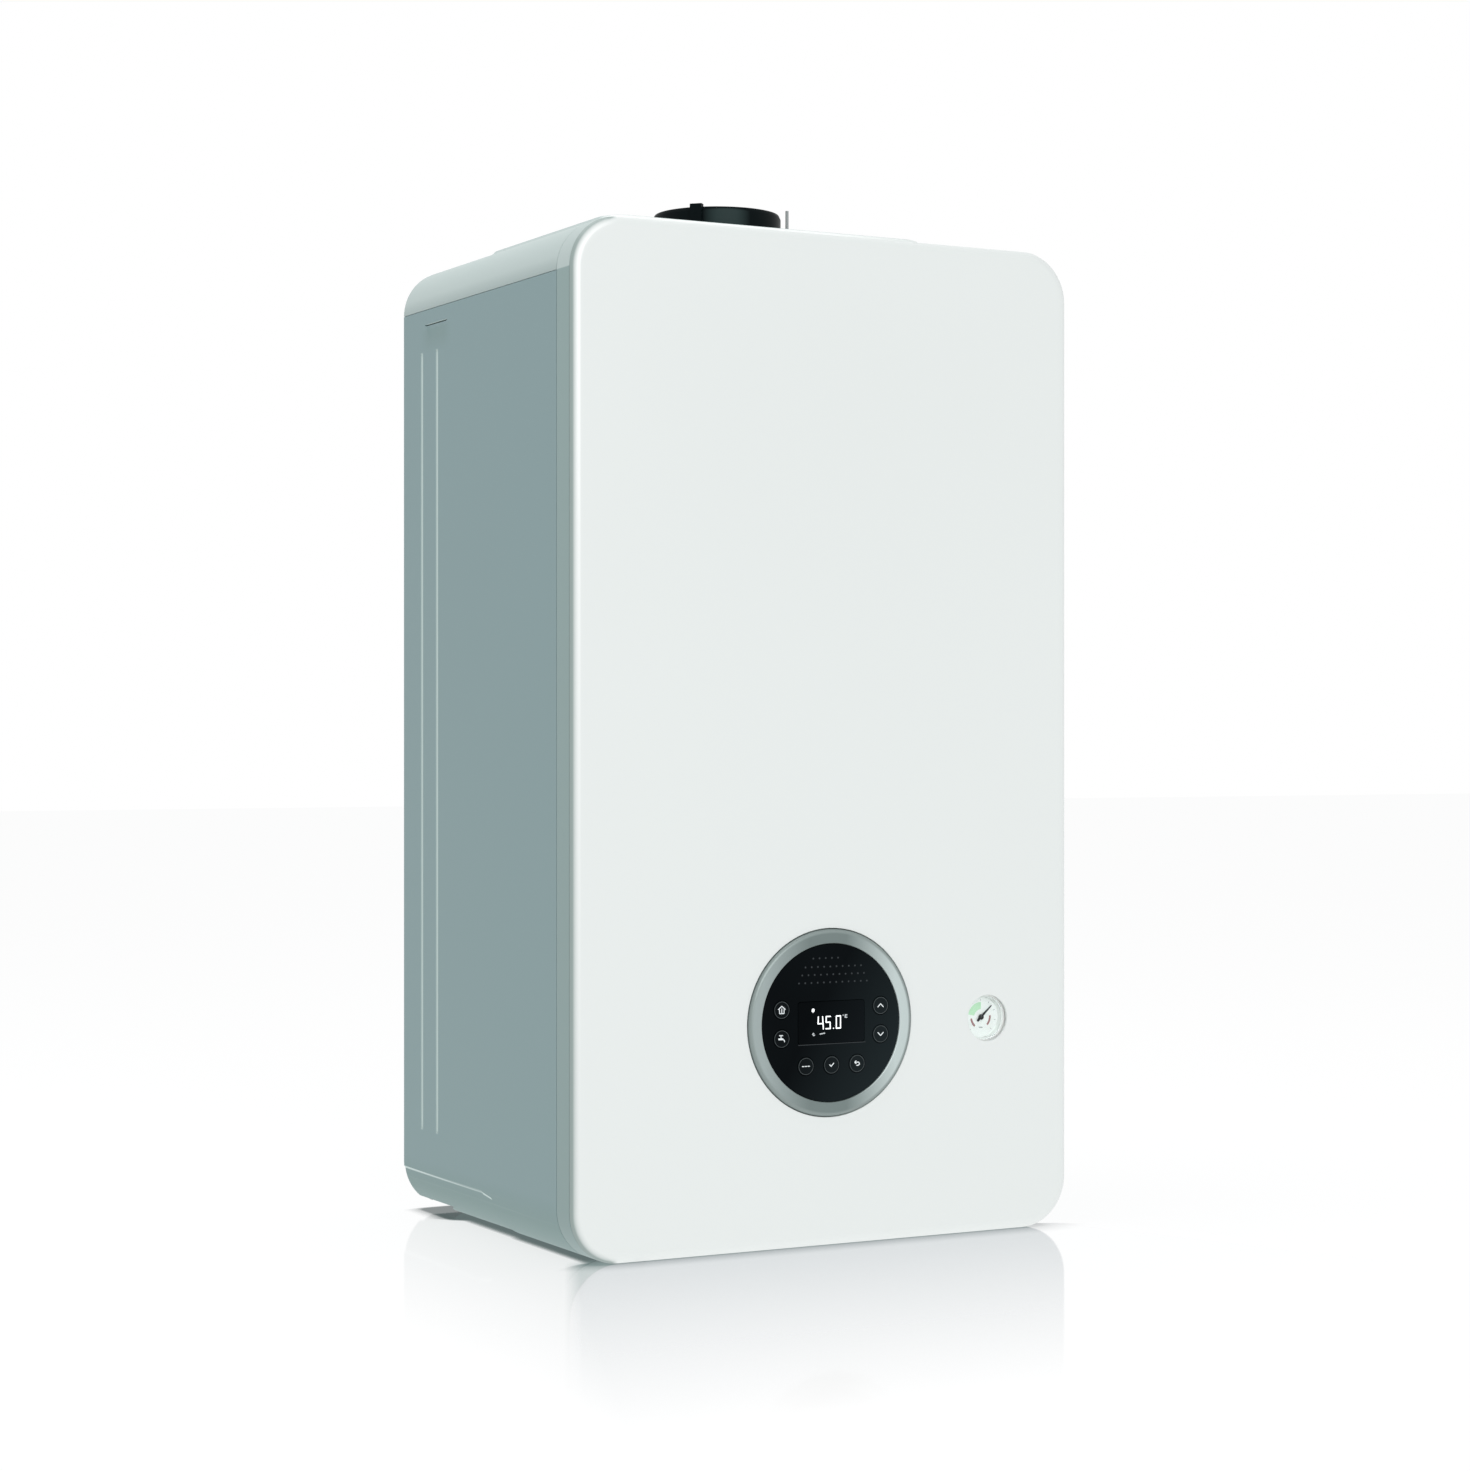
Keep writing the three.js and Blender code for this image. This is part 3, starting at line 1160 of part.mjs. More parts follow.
const flue = assembly(FLUE_X, FLUE_Y, 0);
piece(flue, "flue_adapter", flueAdapter(), finishes.blackPlastic);
piece(flue, "flue_clip", flueClip(), finishes.steel).position.x = CLIP_X - FLUE_X;
piece(flue, "flue_seal", flueSeal(), finishes.rubber);
piece(flue, "flue_duct", flueDuct(), finishes.blackPlastic);

// Outer profile of the drum: evenly spaced ribs between its two ends.
function drumProfile() {
  const pitch = (DRUM_LENGTH - DRUM_RIB_WIDTH) / (DRUM_RIBS - 1);
  const profile = [[DRUM_BORE, DRUM_FRONT]];
  for (let i = 0; i < DRUM_RIBS; i += 1) {
    const start = DRUM_FRONT + i * pitch;
    const end = start + DRUM_RIB_WIDTH;
    if (i > 0) profile.push([DRUM_RADIUS, start]);
    profile.push([DRUM_OUTER, start], [DRUM_OUTER, end]);
    if (i < DRUM_RIBS - 1) profile.push([DRUM_RADIUS, end]);
  }
  const floor = DRUM_BACK - DRUM_FLOOR;
  return [...profile, [0, DRUM_BACK], [0, floor], [DRUM_BORE, floor], [DRUM_BORE, DRUM_FRONT]];
}

// The drum with a water port on each side and the condensate outlet under it.
function heatExchanger() {
  const reach = DRUM_OUTER + PORT_LENGTH;
  const ports = [-1, 1].map((side) => {
    const ends = [side * (DRUM_BORE + DRUM_RIB), side * reach];
    return rodAlongX(PORT_RADIUS, Math.min(...ends), Math.max(...ends), PORT_Y, 0, SIDES_SMALL);
  });
  const drain = rodAlongZ(PORT_RADIUS, -DRUM_OUTER - PORT_LENGTH, -DRUM_BORE - DRUM_RIB, TRAP_X, TRAP_Y,
    SIDES_SMALL);
  return joined(turnedAlongY(drumProfile(), SIDES_DRUM), ...ports, drain);
}

// The door that closes the drum, with its hub, cooling fins and bolts.
function burnerDoor() {
  const plateRadius = DRUM_RADIUS - GAP;
  const disc = rodAlongY(plateRadius, DOOR_FRONT, DOOR_BACK, 0, 0, SIDES_LARGE);
  const hub = rodAlongY(DOOR_HUB_RADIUS, DOOR_FRONT - DOOR_HUB_LENGTH, DOOR_BACK, 0, 0);
  const finEnd = plateRadius - 2 * DOOR_BOLT_INSET;
  const fins = aroundY(DOOR_FINS, (index) =>
    box(0, finEnd, DOOR_FRONT - DOOR_FIN_HEIGHT, DOOR_BACK, -DOOR_FIN_SHEET / 2, DOOR_FIN_SHEET / 2), 0);
  const bolts = aroundY(DOOR_BOLTS, () => {
    const x = plateRadius - DOOR_BOLT_INSET;
    return rodAlongY(DOOR_BOLT_RADIUS, DOOR_FRONT - DOOR_BOLT_HEIGHT, DOOR_BACK, x, 0, SIDES_HEX);
  }, Math.PI / DOOR_FINS);
  const holes = [IGNITER_ANGLE_DEG, IONISATION_ANGLE_DEG].map((angle) => {
    const [x, z] = electrodePlace(angle);
    return rodAlongY(ELECTRODE_RADIUS + GAP, -DEPTH, 0, x, z, SIDES_SMALL);
  });
  return cut(joined(disc, hub, ...fins, ...bolts), ...holes);
}

// Copies of a solid evenly spaced round the front to back axis.
function aroundY(count, make, start) {
  return Array.from({ length: count }, (_, index) =>
    turnedAboutY(make(index), start + (index * 4 * RIGHT_ANGLE) / count));
}

function electrodePlace(angle) {
  return [ELECTRODE_CIRCLE * Math.cos(radians(angle)), ELECTRODE_CIRCLE * Math.sin(radians(angle))];
}

function electrode() {
  const front = DOOR_FRONT - GAP;
  const body = rodAlongY(ELECTRODE_BODY_RADIUS, front - ELECTRODE_BODY_LENGTH, front, 0, 0, SIDES_SMALL);
  const rod = rodAlongY(ELECTRODE_RADIUS, front - ELECTRODE_BODY_LENGTH - ELECTRODE_RADIUS,
    DOOR_BACK + ELECTRODE_REACH, 0, 0, PIPE_SIDES);
  return joined(body, rod);
}

// The burner tube, closed at its far end and pierced by rows of slots.
function burner() {
  const front = DOOR_BACK + GAP;
  const back = front + BURNER_LENGTH;
  const inner = BURNER_RADIUS - BURNER_WALL;
  const shell = turnedAlongY([
    [inner, front], [BURNER_RADIUS, front], [BURNER_RADIUS, back], [0, back], [0, back - BURNER_WALL],
    [inner, back - BURNER_WALL], [inner, front],
  ]);
  const slot = BURNER_LENGTH / 8;
  const rows = [1, 2, 3].flatMap((row) => [0, 1, 2].map((turn) => {
    const start = front + row * 2 * slot - slot / 2;
    const bar = box(-DRUM_BORE, DRUM_BORE, start, start + slot, -BURNER_WALL, BURNER_WALL);
    return turnedAboutY(bar, (turn * Math.PI) / 3);
  }));
  return cut(shell, ...rows);
}

const combustion = assembly(0, 0, DRUM_HEIGHT);
piece(combustion, "heat_exchanger", heatExchanger(), finishes.castAluminium);
piece(combustion, "burner_door", burnerDoor(), finishes.castAluminium);
piece(combustion, "burner", burner(), finishes.stainless);
const ELECTRODES = { igniter_electrode: IGNITER_ANGLE_DEG, ionisation_electrode: IONISATION_ANGLE_DEG };
for (const [name, angle] of Object.entries(ELECTRODES)) {
  const [x, z] = electrodePlace(angle);
  piece(combustion, name, electrode(), finishes.ceramic).position.set(x, 0, z);
}

// Fan: a scroll that grows round the wheel and leaves towards the drum's door.
const SCROLL_END = SCROLL_START + SCROLL_GROWTH;
const OUTLET_LEFT = -SCROLL_START - ELBOW_FLANGE_SHEET;
const OUTLET_TOP = SCROLL_END;
const OUTLET_BOTTOM = SCROLL_END - 2 * (ELBOW_RADIUS + ELBOW_FLANGE);
const OUTLET_Z = (OUTLET_TOP + OUTLET_BOTTOM) / 2;
const FAN_MIDDLE = (FAN_FRONT + FAN_BACK) / 2;

// The spiral's outline about the wheel's axis, with its outlet running off to the left.
function scrollOutline(inset, outletEnd) {
  const bottom = OUTLET_BOTTOM + inset;
  const points = [[outletEnd, bottom], [outletEnd, SCROLL_END - inset]];
  for (let i = 0; i <= SCROLL_STEPS; i += 1) {
    const share = i / SCROLL_STEPS;
    const angle = RIGHT_ANGLE - share * 4 * RIGHT_ANGLE;
    const radius = SCROLL_END - share * SCROLL_GROWTH - inset;
    const place = [radius * Math.cos(angle), radius * Math.sin(angle)];
    if (share > TONGUE_SHARE && place[1] > bottom) break;
    points.push(place);
  }
  return outlineThrough(points);
}

function fanHousing() {
  const body = slab(scrollOutline(0, OUTLET_LEFT), FAN_FRONT, FAN_BACK);
  const hollow = slab(scrollOutline(FAN_WALL, OUTLET_LEFT - OVERRUN), FAN_FRONT + FAN_WALL,
    FAN_BACK - FAN_WALL);
  const inlet = rodAlongY(FAN_INLET_RADIUS, FAN_MIDDLE, 0, 0, 0);
  const shaftHole = rodAlongY(WHEEL_SHAFT_RADIUS + SHAFT_CLEARANCE, -DEPTH, FAN_MIDDLE, 0, 0, SIDES_SMALL);
  return cut(body, hollow, inlet, shaftHole);
}

// The wheel: a disc on its shaft with leaned back blades, open towards the inlet.
function fanWheel() {
  const discFront = FAN_FRONT + FAN_WALL + WHEEL_CLEARANCE;
  const discBack = discFront + WHEEL_DISC;
  const bladeBack = FAN_BACK - FAN_WALL - WHEEL_CLEARANCE;
  const plateShape = rodAlongY(WHEEL_RADIUS, discFront, discBack, 0, 0, SIDES_LARGE);
  const hub = rodAlongY(WHEEL_HUB_RADIUS, discFront, discBack + WHEEL_HUB_RADIUS, 0, 0);
  const shaft = rodAlongY(WHEEL_SHAFT_RADIUS, FAN_FRONT - GAP - FAN_MOTOR_LENGTH / 2, discBack, 0, 0,
    SIDES_SMALL);
  const blades = aroundY(WHEEL_BLADES, () => fanBlade(discBack - WHEEL_DISC / 2, bladeBack), 0);
  return joined(plateShape, hub, shaft, ...blades);
}

function fanBlade(front, back) {
  const half = WHEEL_BLADE_SHEET / 2;
  const blade = box(-WHEEL_BLADE_LENGTH / 2, WHEEL_BLADE_LENGTH / 2, front, back, -half, half);
  const leaned = geometryOf(blade).rotateY(radians(WHEEL_BLADE_LEAN_DEG));
  return solid(leaned.translate(WHEEL_RADIUS - WHEEL_BLADE_LENGTH / 2, 0, 0));
}

function fanMotor() {
  const back = FAN_FRONT - GAP;
  const front = back - FAN_MOTOR_LENGTH;
  const body = rodAlongY(FAN_MOTOR_RADIUS, front, back, 0, 0, SIDES_LARGE);
  const reach = FAN_MOTOR_RADIUS + FAN_FIN_HEIGHT;
  const fins = aroundY(FAN_MOTOR_FINS, () =>
    box(WHEEL_HUB_RADIUS, reach, front + FAN_FIN_SHEET, back, -FAN_FIN_SHEET / 2, FAN_FIN_SHEET / 2), 0);
  const boreFront = back - FAN_MOTOR_LENGTH * MOTOR_BORE_SHARE;
  const bore = rodAlongY(WHEEL_SHAFT_RADIUS + SHAFT_CLEARANCE, boreFront, back + OVERRUN, 0, 0, SIDES_SMALL);
  return cut(joined(body, ...fins), bore);
}

// The intake behind the fan: it narrows to a throat where the gas comes in from the side.
function venturi() {
  const front = FAN_BACK + GAP;
  const back = front + VENTURI_LENGTH;
  const throat = VENTURI_RADIUS * VENTURI_THROAT_SHARE;
  const middle = (front + back) / 2;
  const shell = turnedAlongY([
    [VENTURI_RADIUS - VENTURI_WALL, front],
    [VENTURI_RADIUS + VENTURI_WALL, front],
    [VENTURI_RADIUS + VENTURI_WALL, front + VENTURI_WALL],
    [VENTURI_RADIUS, front + 2 * VENTURI_WALL],
    [throat + VENTURI_WALL, middle],
    [VENTURI_RADIUS, back],
    [VENTURI_RADIUS - VENTURI_WALL, back],
    [throat, middle],
    [VENTURI_RADIUS - VENTURI_WALL, front],
  ]);
  const x = GAS_VALVE_X - FAN_X;
  const end = GAS_VALVE_BOTTOM + GAS_VALVE_HEIGHT + GAP - FAN_Z;
  const y = GAS_VALVE_Y;
  const path = route([[throat + VENTURI_WALL / 2, middle, 0], [x, middle, 0], [x, middle, end / 2],
    [x, y, end * VENTURI_TURN_SHARE], [x, y, end]], VENTURI_BEND_RADIUS);
  return joined(shell, tube(path, VENTURI_PORT_RADIUS, PIPE_STEPS));
}

const fan = assembly(FAN_X, 0, FAN_Z);
piece(fan, "fan_housing", fanHousing(), finishes.castAluminium);
piece(fan, "fan_wheel", fanWheel(), finishes.blackPlastic);
piece(fan, "fan_motor", fanMotor(), finishes.blackPlastic);
piece(fan, "venturi", venturi(), finishes.blackPlastic);

// The elbow that leads from the fan's outlet to the middle of the door.
function mixerElbow() {
  const startX = FAN_X + OUTLET_LEFT - GAP;
  const startZ = FAN_Z + OUTLET_Z;
  const doorY = DOOR_FRONT - DOOR_HUB_LENGTH - GAP;
  const y = FAN_MIDDLE;
  const path = route(
    [[startX, y, startZ], [0, y, startZ], [0, y, DRUM_HEIGHT], [0, doorY, DRUM_HEIGHT]], ELBOW_RADIUS);
  const half = ELBOW_RADIUS + ELBOW_FLANGE;
  const flange = box(startX - ELBOW_FLANGE_SHEET, startX, FAN_FRONT, FAN_BACK, startZ - half, startZ + half);
  const foot = rodAlongY(DOOR_HUB_RADIUS, doorY - ELBOW_FLANGE_SHEET, doorY, 0, DRUM_HEIGHT);
  return joined(tube(path, ELBOW_RADIUS, ELBOW_STEPS, SIDES_SMALL), flange, foot);
}

function gasValve() {
  const half = GAS_VALVE_WIDTH / 2;
  const deep = GAS_VALVE_DEPTH / 2;
  const top = GAS_VALVE_HEIGHT;
  const inset = GAS_COIL_RADIUS / 4;
  const body = plate(roundedOutline(-half, half, -deep, deep, inset), 0, top, 1);
  const waist = [-1, 1].map((side) => box(
    side * half - inset, side * half + inset, -deep - OVERRUN, deep + OVERRUN, top / 3, (2 * top) / 3));
  const coils = [-1, 1].map((side) => rodAlongY(
    GAS_COIL_RADIUS / 2 + inset, -deep - GAS_COIL_LENGTH, -deep + inset, (side * half) / 2, top / 2));
  return joined(cut(body, ...waist), ...coils);
}

// A connection that hangs through the base plate: a tube with a collar, open from below.
function stub(x, top) {
  const collar = BLOCK_BOTTOM;
  const made = turnedAlongZ([
    [STUB_RADIUS - STUB_WALL, STUB_BOTTOM],
    [STUB_RADIUS, STUB_BOTTOM],
    [STUB_RADIUS, collar - STUB_COLLAR_HEIGHT],
    [STUB_RADIUS + STUB_COLLAR, collar - STUB_COLLAR_HEIGHT],
    [STUB_RADIUS + STUB_COLLAR, collar],
    [STUB_RADIUS, collar],
    [STUB_RADIUS, top],
    [0, top],
    [0, collar],
    [STUB_RADIUS - STUB_WALL, collar],
    [STUB_RADIUS - STUB_WALL, STUB_BOTTOM],
  ], SIDES_SMALL);
  return solid(geometryOf(made).translate(x, STUB_Y, 0));
}

function gasPipe() {
  const stubTop = BLOCK_TOP;
  const pumpTop = PUMP_HEIGHT + PUMP_MOTOR_RADIUS + PUMP_BOX_HEIGHT / 2;
  const low = pumpTop + GAS_PIPE_CLEARANCE;
  const start = [0, STUB_Y, stubTop - STUB_COLLAR];
  const end = [GAS_VALVE_X, GAS_VALVE_Y, GAS_VALVE_BOTTOM - GAP];
  const turn = [GAS_VALVE_X, GAS_VALVE_Y, low + (GAS_VALVE_BOTTOM - low) * GAS_TURN_SHARE];
  const path = route([start, [0, STUB_Y, low], turn, end], 2 * GAS_PIPE_RADIUS);
  return joined(stub(0, stubTop), tube(path, GAS_PIPE_RADIUS));
}

const gasLine = assembly();
piece(gasLine, "mixer_elbow", mixerElbow(), finishes.castAluminium);
piece(gasLine, "gas_valve", gasValve(), finishes.castAluminium)
  .position.set(GAS_VALVE_X, GAS_VALVE_Y, GAS_VALVE_BOTTOM);
piece(gasLine, "gas_pipe", gasPipe(), finishes.brass);

// Expansion vessel: two pressed halves with a rolled rim between them.
function expansionVessel() {
  const middle = (VESSEL_FRONT + VESSEL_BACK) / 2;
  const rimHalf = VESSEL_RIM_WIDTH / 2;
  const shoulder = VESSEL_RADIUS - VESSEL_RIM - VESSEL_CROWN;
  const footBack = VESSEL_BACK;
  return turnedAlongY([
    [0, VESSEL_FRONT],
    [shoulder * VESSEL_FLAT_SHARE, VESSEL_FRONT],
    [shoulder, VESSEL_FRONT + VESSEL_CROWN],
    [VESSEL_RADIUS - VESSEL_RIM, middle - rimHalf],
    [VESSEL_RADIUS, middle - rimHalf],
    [VESSEL_RADIUS, middle + rimHalf],
    [VESSEL_RADIUS - VESSEL_RIM, middle + rimHalf],
    [shoulder, footBack - VESSEL_CROWN],
    [VESSEL_FOOT_RADIUS, footBack - VESSEL_CROWN / 2],
    [VESSEL_FOOT_RADIUS, footBack],
    [0, footBack],
  ], SIDES_DRUM);
}

// A hydraulic block with two connections and the socket that the plates sit against.
function hydraulicBlock(side) {
  const inner = side * (BLOCK_X - BLOCK_WIDTH / 2);
  const outer = side * (BLOCK_X + BLOCK_WIDTH / 2);
  const body = plate(roundedOutline(
    Math.min(inner, outer), Math.max(inner, outer), BLOCK_FRONT, BLOCK_BACK, BLOCK_EDGE),
    BLOCK_BOTTOM, BLOCK_TOP, 1);
  const arm = side * (STUB_PITCH - PORT_BRIDGE);
  const bridge = box(Math.min(arm, outer), Math.max(arm, outer), STUB_Y - PORT_BRIDGE, STUB_Y + PORT_BRIDGE,
    BLOCK_BOTTOM, BLOCK_TOP - BLOCK_EDGE);
  const stubs = [1, 2].map((step) => stub(side * step * STUB_PITCH, BLOCK_TOP - BLOCK_EDGE));
  const hollows = [1, 2].map((step) =>
    rodAlongZ(STUB_RADIUS - STUB_WALL, 0, BLOCK_BOTTOM, side * step * STUB_PITCH, STUB_Y, SIDES_SMALL));
  return cut(joined(body, bridge, ...stubs), ...hollows);
}

// The flow side also carries the filling tap's body and the turret of the diverter.
function flowBlock() {
  const turretTop = BLOCK_TOP + DIVERTER_TURRET;
  const turret = rodAlongZ(DIVERTER_TURRET_RADIUS, BLOCK_BOTTOM + BLOCK_EDGE, turretTop, -BLOCK_X,
    DIVERTER_Y);
  const bore = rodAlongZ(SPINDLE_HEAD_RADIUS + SHAFT_CLEARANCE, BLOCK_TOP, turretTop + OVERRUN,
    -BLOCK_X, DIVERTER_Y);
  const tap = rodAlongY(RELIEF_RADIUS, BLOCK_FRONT - RELIEF_NECK_LENGTH, BLOCK_BACK, -BLOCK_X, TAP_Z);
  const socket = rodAlongZ(PIPE_NUT_RADIUS, BLOCK_BOTTOM + BLOCK_EDGE, BLOCK_TOP + BLOCK_EDGE, -BLOCK_X,
    STUB_Y);
  return joined(cut(joined(hydraulicBlock(-1), turret), bore), tap, socket);
}

// The spindle that the diverter's motor pushes down, with its valve head.
function diverterSpindle() {
  const bottom = BLOCK_TOP + SPINDLE_TRAVEL + GAP;
  return turnedAlongZ([
    [0, bottom],
    [SPINDLE_HEAD_RADIUS, bottom],
    [SPINDLE_HEAD_RADIUS, bottom + SPINDLE_HEAD_HEIGHT],
    [SPINDLE_RADIUS, bottom + SPINDLE_HEAD_HEIGHT],
    [SPINDLE_RADIUS, bottom + SPINDLE_LENGTH],
    [0, bottom + SPINDLE_LENGTH],
  ], SIDES_SMALL);
}

function diverterMotor() {
  const bottom = BLOCK_TOP + DIVERTER_TURRET + GAP;
  const half = DIVERTER_WIDTH / 2;
  const deep = DIVERTER_DEPTH / 2;
  const body = plate(roundedOutline(-half, half, -deep, deep, BLOCK_EDGE), bottom,
    bottom + DIVERTER_HEIGHT, 1);
  const plug = box(-half / 2, half / 2, -deep - BLOCK_EDGE, 0, bottom + BLOCK_EDGE,
    bottom + DIVERTER_HEIGHT / 3);
  const bore = rodAlongZ(SPINDLE_RADIUS + SHAFT_CLEARANCE, 0, bottom + SPINDLE_LENGTH, 0, 0, SIDES_SMALL);
  return cut(joined(body, plug), bore);
}

// A stack of pressed plates, drawn as evenly spaced grooves round a block.
function plateExchanger() {
  const right = BLOCK_X - BLOCK_WIDTH / 2 - GAP;
  const front = BLOCK_FRONT + PLATES_FRONT_INSET;
  const back = front + PLATES_DEPTH;
  const top = BLOCK_BOTTOM + PLATES_HEIGHT;
  const inset = PLATES_GROOVE_DEPTH;
  const core = box(inset - right, right - inset, front, back, BLOCK_BOTTOM + inset, top - inset);
  const pitch = PLATES_DEPTH / PLATES_GROOVES;
  const plates = Array.from({ length: PLATES_GROOVES }, (_, i) => {
    const start = front + i * pitch;
    return box(-right, right, start, start + pitch * (1 - PLATES_GROOVE_SHARE), BLOCK_BOTTOM, top);
  });
  return joined(core, ...plates);
}

const hydraulics = assembly();
piece(hydraulics, "expansion_vessel", expansionVessel(), finishes.vessel).position.z = VESSEL_HEIGHT;
piece(hydraulics, "flow_block", flowBlock(), finishes.brass);
piece(hydraulics, "diverter_spindle", diverterSpindle(), finishes.stainless).position.set(-BLOCK_X,
  DIVERTER_Y, 0);
piece(hydraulics, "diverter_motor", diverterMotor(), finishes.blackPlastic).position.set(-BLOCK_X,
  DIVERTER_Y, 0);
piece(hydraulics, "plate_heat_exchanger", plateExchanger(), finishes.stainless);

// The return side also carries the neck of the safety valve and the pipe of the vessel.
function returnBlock() {
  const neckFront = BLOCK_FRONT - RELIEF_NECK_LENGTH;
  const neck = rodAlongY(RELIEF_RADIUS, neckFront, BLOCK_BACK, BLOCK_X, TAP_Z);
  return joined(hydraulicBlock(1), neck);
}

// The pump: a snail shell with a foot on the return block and an outlet on top.
function pumpHousing() {
  const back = PUMP_FRONT + PUMP_DEPTH;
  const shell = rodAlongY(PUMP_RADIUS, PUMP_FRONT, back, 0, 0, SIDES_DRUM);
  const middle = STUB_Y;
  const outlet = rodAlongZ(PIPE_NUT_RADIUS, 0, PUMP_RADIUS + PUMP_OUTLET_RISE, 0, middle);
  const half = PUMP_NECK / 2;
  const foot = box(-half, half, PUMP_FRONT, back, BLOCK_TOP + GAP - PUMP_HEIGHT, 0);
  const hollow = rodAlongY(PUMP_RADIUS - PUMP_WALL, -DEPTH, back - PUMP_WALL, 0, 0, SIDES_DRUM);
  const ventSeat = rodAlongZ(VENT_RADIUS / 2, 0, PUMP_RADIUS, PUMP_RADIUS * VENT_PLACE_SHARE,
    back - VENT_RADIUS, SIDES_SMALL);
  return cut(joined(shell, outlet, foot, ventSeat), hollow);
}

function pumpWheel() {
  const back = PUMP_FRONT + PUMP_DEPTH - PUMP_WALL - WHEEL_CLEARANCE;
  const front = back - PUMP_WHEEL_DEPTH;
  const disc = rodAlongY(PUMP_WHEEL_RADIUS, front, front + PUMP_VANE_SHEET, 0, 0, SIDES_DRUM);
  const shaft = rodAlongY(WHEEL_SHAFT_RADIUS, PUMP_FRONT - PUMP_MOTOR_LENGTH / 2, back, 0, 0, SIDES_SMALL);
  const half = PUMP_VANE_SHEET / 2;
  const vanes = aroundY(PUMP_VANES, () => {
    const vane = box(-half, PUMP_WHEEL_RADIUS * PUMP_VANE_SHARE, front, back, -half, half);
    const leaned = geometryOf(vane).rotateY(radians(WHEEL_BLADE_LEAN_DEG));
    return solid(leaned.translate(WHEEL_SHAFT_RADIUS, 0, 0));
  }, 0);
  return joined(disc, shaft, ...vanes);
}

// The motor closes the pump's shell, with ribs round it and a wiring box on its front.
function pumpMotor() {
  const back = PUMP_FRONT - GAP;
  const front = back - PUMP_MOTOR_LENGTH;
  const spigot = rodAlongY(PUMP_RADIUS - PUMP_WALL - GAP, back - OVERRUN, back + PUMP_WALL, 0, 0, SIDES_DRUM);
  const body = rodAlongY(PUMP_MOTOR_RADIUS - PUMP_WALL, front, back, 0, 0, SIDES_DRUM);
  const ribHalf = PUMP_VANE_SHEET / 2;
  const ribs = aroundY(PUMP_MOTOR_RIBS, () =>
    box(0, PUMP_MOTOR_RADIUS, front + PUMP_WALL, back - PUMP_WALL, -ribHalf,
      ribHalf), Math.PI / PUMP_MOTOR_RIBS);
  const half = PUMP_BOX_WIDTH / 2;
  const wiring = box(-half, half, front, front + PUMP_BOX_LENGTH, 0, PUMP_MOTOR_RADIUS + PUMP_BOX_HEIGHT / 2);
  const boreFront = back - PUMP_MOTOR_LENGTH / 2 - OVERRUN;
  const bore = rodAlongY(WHEEL_SHAFT_RADIUS + SHAFT_CLEARANCE, boreFront, DEPTH, 0, 0, SIDES_SMALL);
  return cut(joined(body, spigot, ...ribs, wiring), bore);
}

function airVent() {
  const capBottom = VENT_HEIGHT;
  return turnedAlongZ([
    [0, 0], [VENT_RADIUS, 0], [VENT_RADIUS, VENT_HEIGHT * VENT_SHOULDER_SHARE], [VENT_CAP_RADIUS, capBottom],
    [VENT_CAP_RADIUS, capBottom + VENT_CAP_HEIGHT], [0, capBottom + VENT_CAP_HEIGHT],
  ]);
}

piece(hydraulics, "return_block", returnBlock(), finishes.brass);
const pump = assembly(BLOCK_X, 0, PUMP_HEIGHT);
piece(pump, "pump_housing", pumpHousing(), finishes.blackPlastic);
piece(pump, "pump_wheel", pumpWheel(), finishes.greyPlastic);
piece(pump, "pump_motor", pumpMotor(), finishes.castAluminium);
piece(pump, "air_vent", airVent(), finishes.brass)
  .position.set(PUMP_RADIUS * VENT_PLACE_SHARE, PUMP_FRONT + PUMP_DEPTH - VENT_RADIUS, PUMP_RADIUS + GAP);

// The safety valve in front of the return block, and the knob that tests it.
const RELIEF_BACK = BLOCK_FRONT - RELIEF_NECK_LENGTH - GAP;
const RELIEF_FRONT = RELIEF_BACK - RELIEF_LENGTH;

function safetyValve() {
  const body = turnedAlongY([
    [0, RELIEF_FRONT], [RELIEF_NECK_RADIUS * 2, RELIEF_FRONT], [RELIEF_RADIUS,
      RELIEF_FRONT + RELIEF_NECK_LENGTH],
    [RELIEF_RADIUS, RELIEF_BACK], [0, RELIEF_BACK],
  ]);
  const spoutEnd = -RELIEF_RADIUS - RELIEF_NECK_LENGTH / 2;
  const spout = rodAlongZ(RELIEF_NECK_RADIUS, spoutEnd, 0, 0, RELIEF_BACK - RELIEF_NECK_RADIUS, SIDES_SMALL);
  const pin = rodAlongY(RELIEF_NECK_RADIUS, RELIEF_FRONT - RELIEF_KNOB_LENGTH / 2, RELIEF_FRONT, 0, 0,
    SIDES_SMALL);
  return joined(body, spout, pin);
}

function lobedKnob(length, front) {
  const core = rodAlongY(RELIEF_KNOB_RADIUS - KNOB_LOBE_RADIUS, front, front + length, 0, 0);
  const lobes = aroundY(KNOB_LOBES, () =>
    rodAlongY(KNOB_LOBE_RADIUS, front, front + length, RELIEF_KNOB_RADIUS - KNOB_LOBE_RADIUS, 0,
      SIDES_SMALL), 0);
  const bore = rodAlongY(RELIEF_NECK_RADIUS + GAP, front + length / 2 - 2 * GAP, 0, 0, 0);
  return cut(joined(core, ...lobes), bore);
}

function safetyKnob() {
  return lobedKnob(RELIEF_KNOB_LENGTH, RELIEF_FRONT - GAP - RELIEF_KNOB_LENGTH);
}

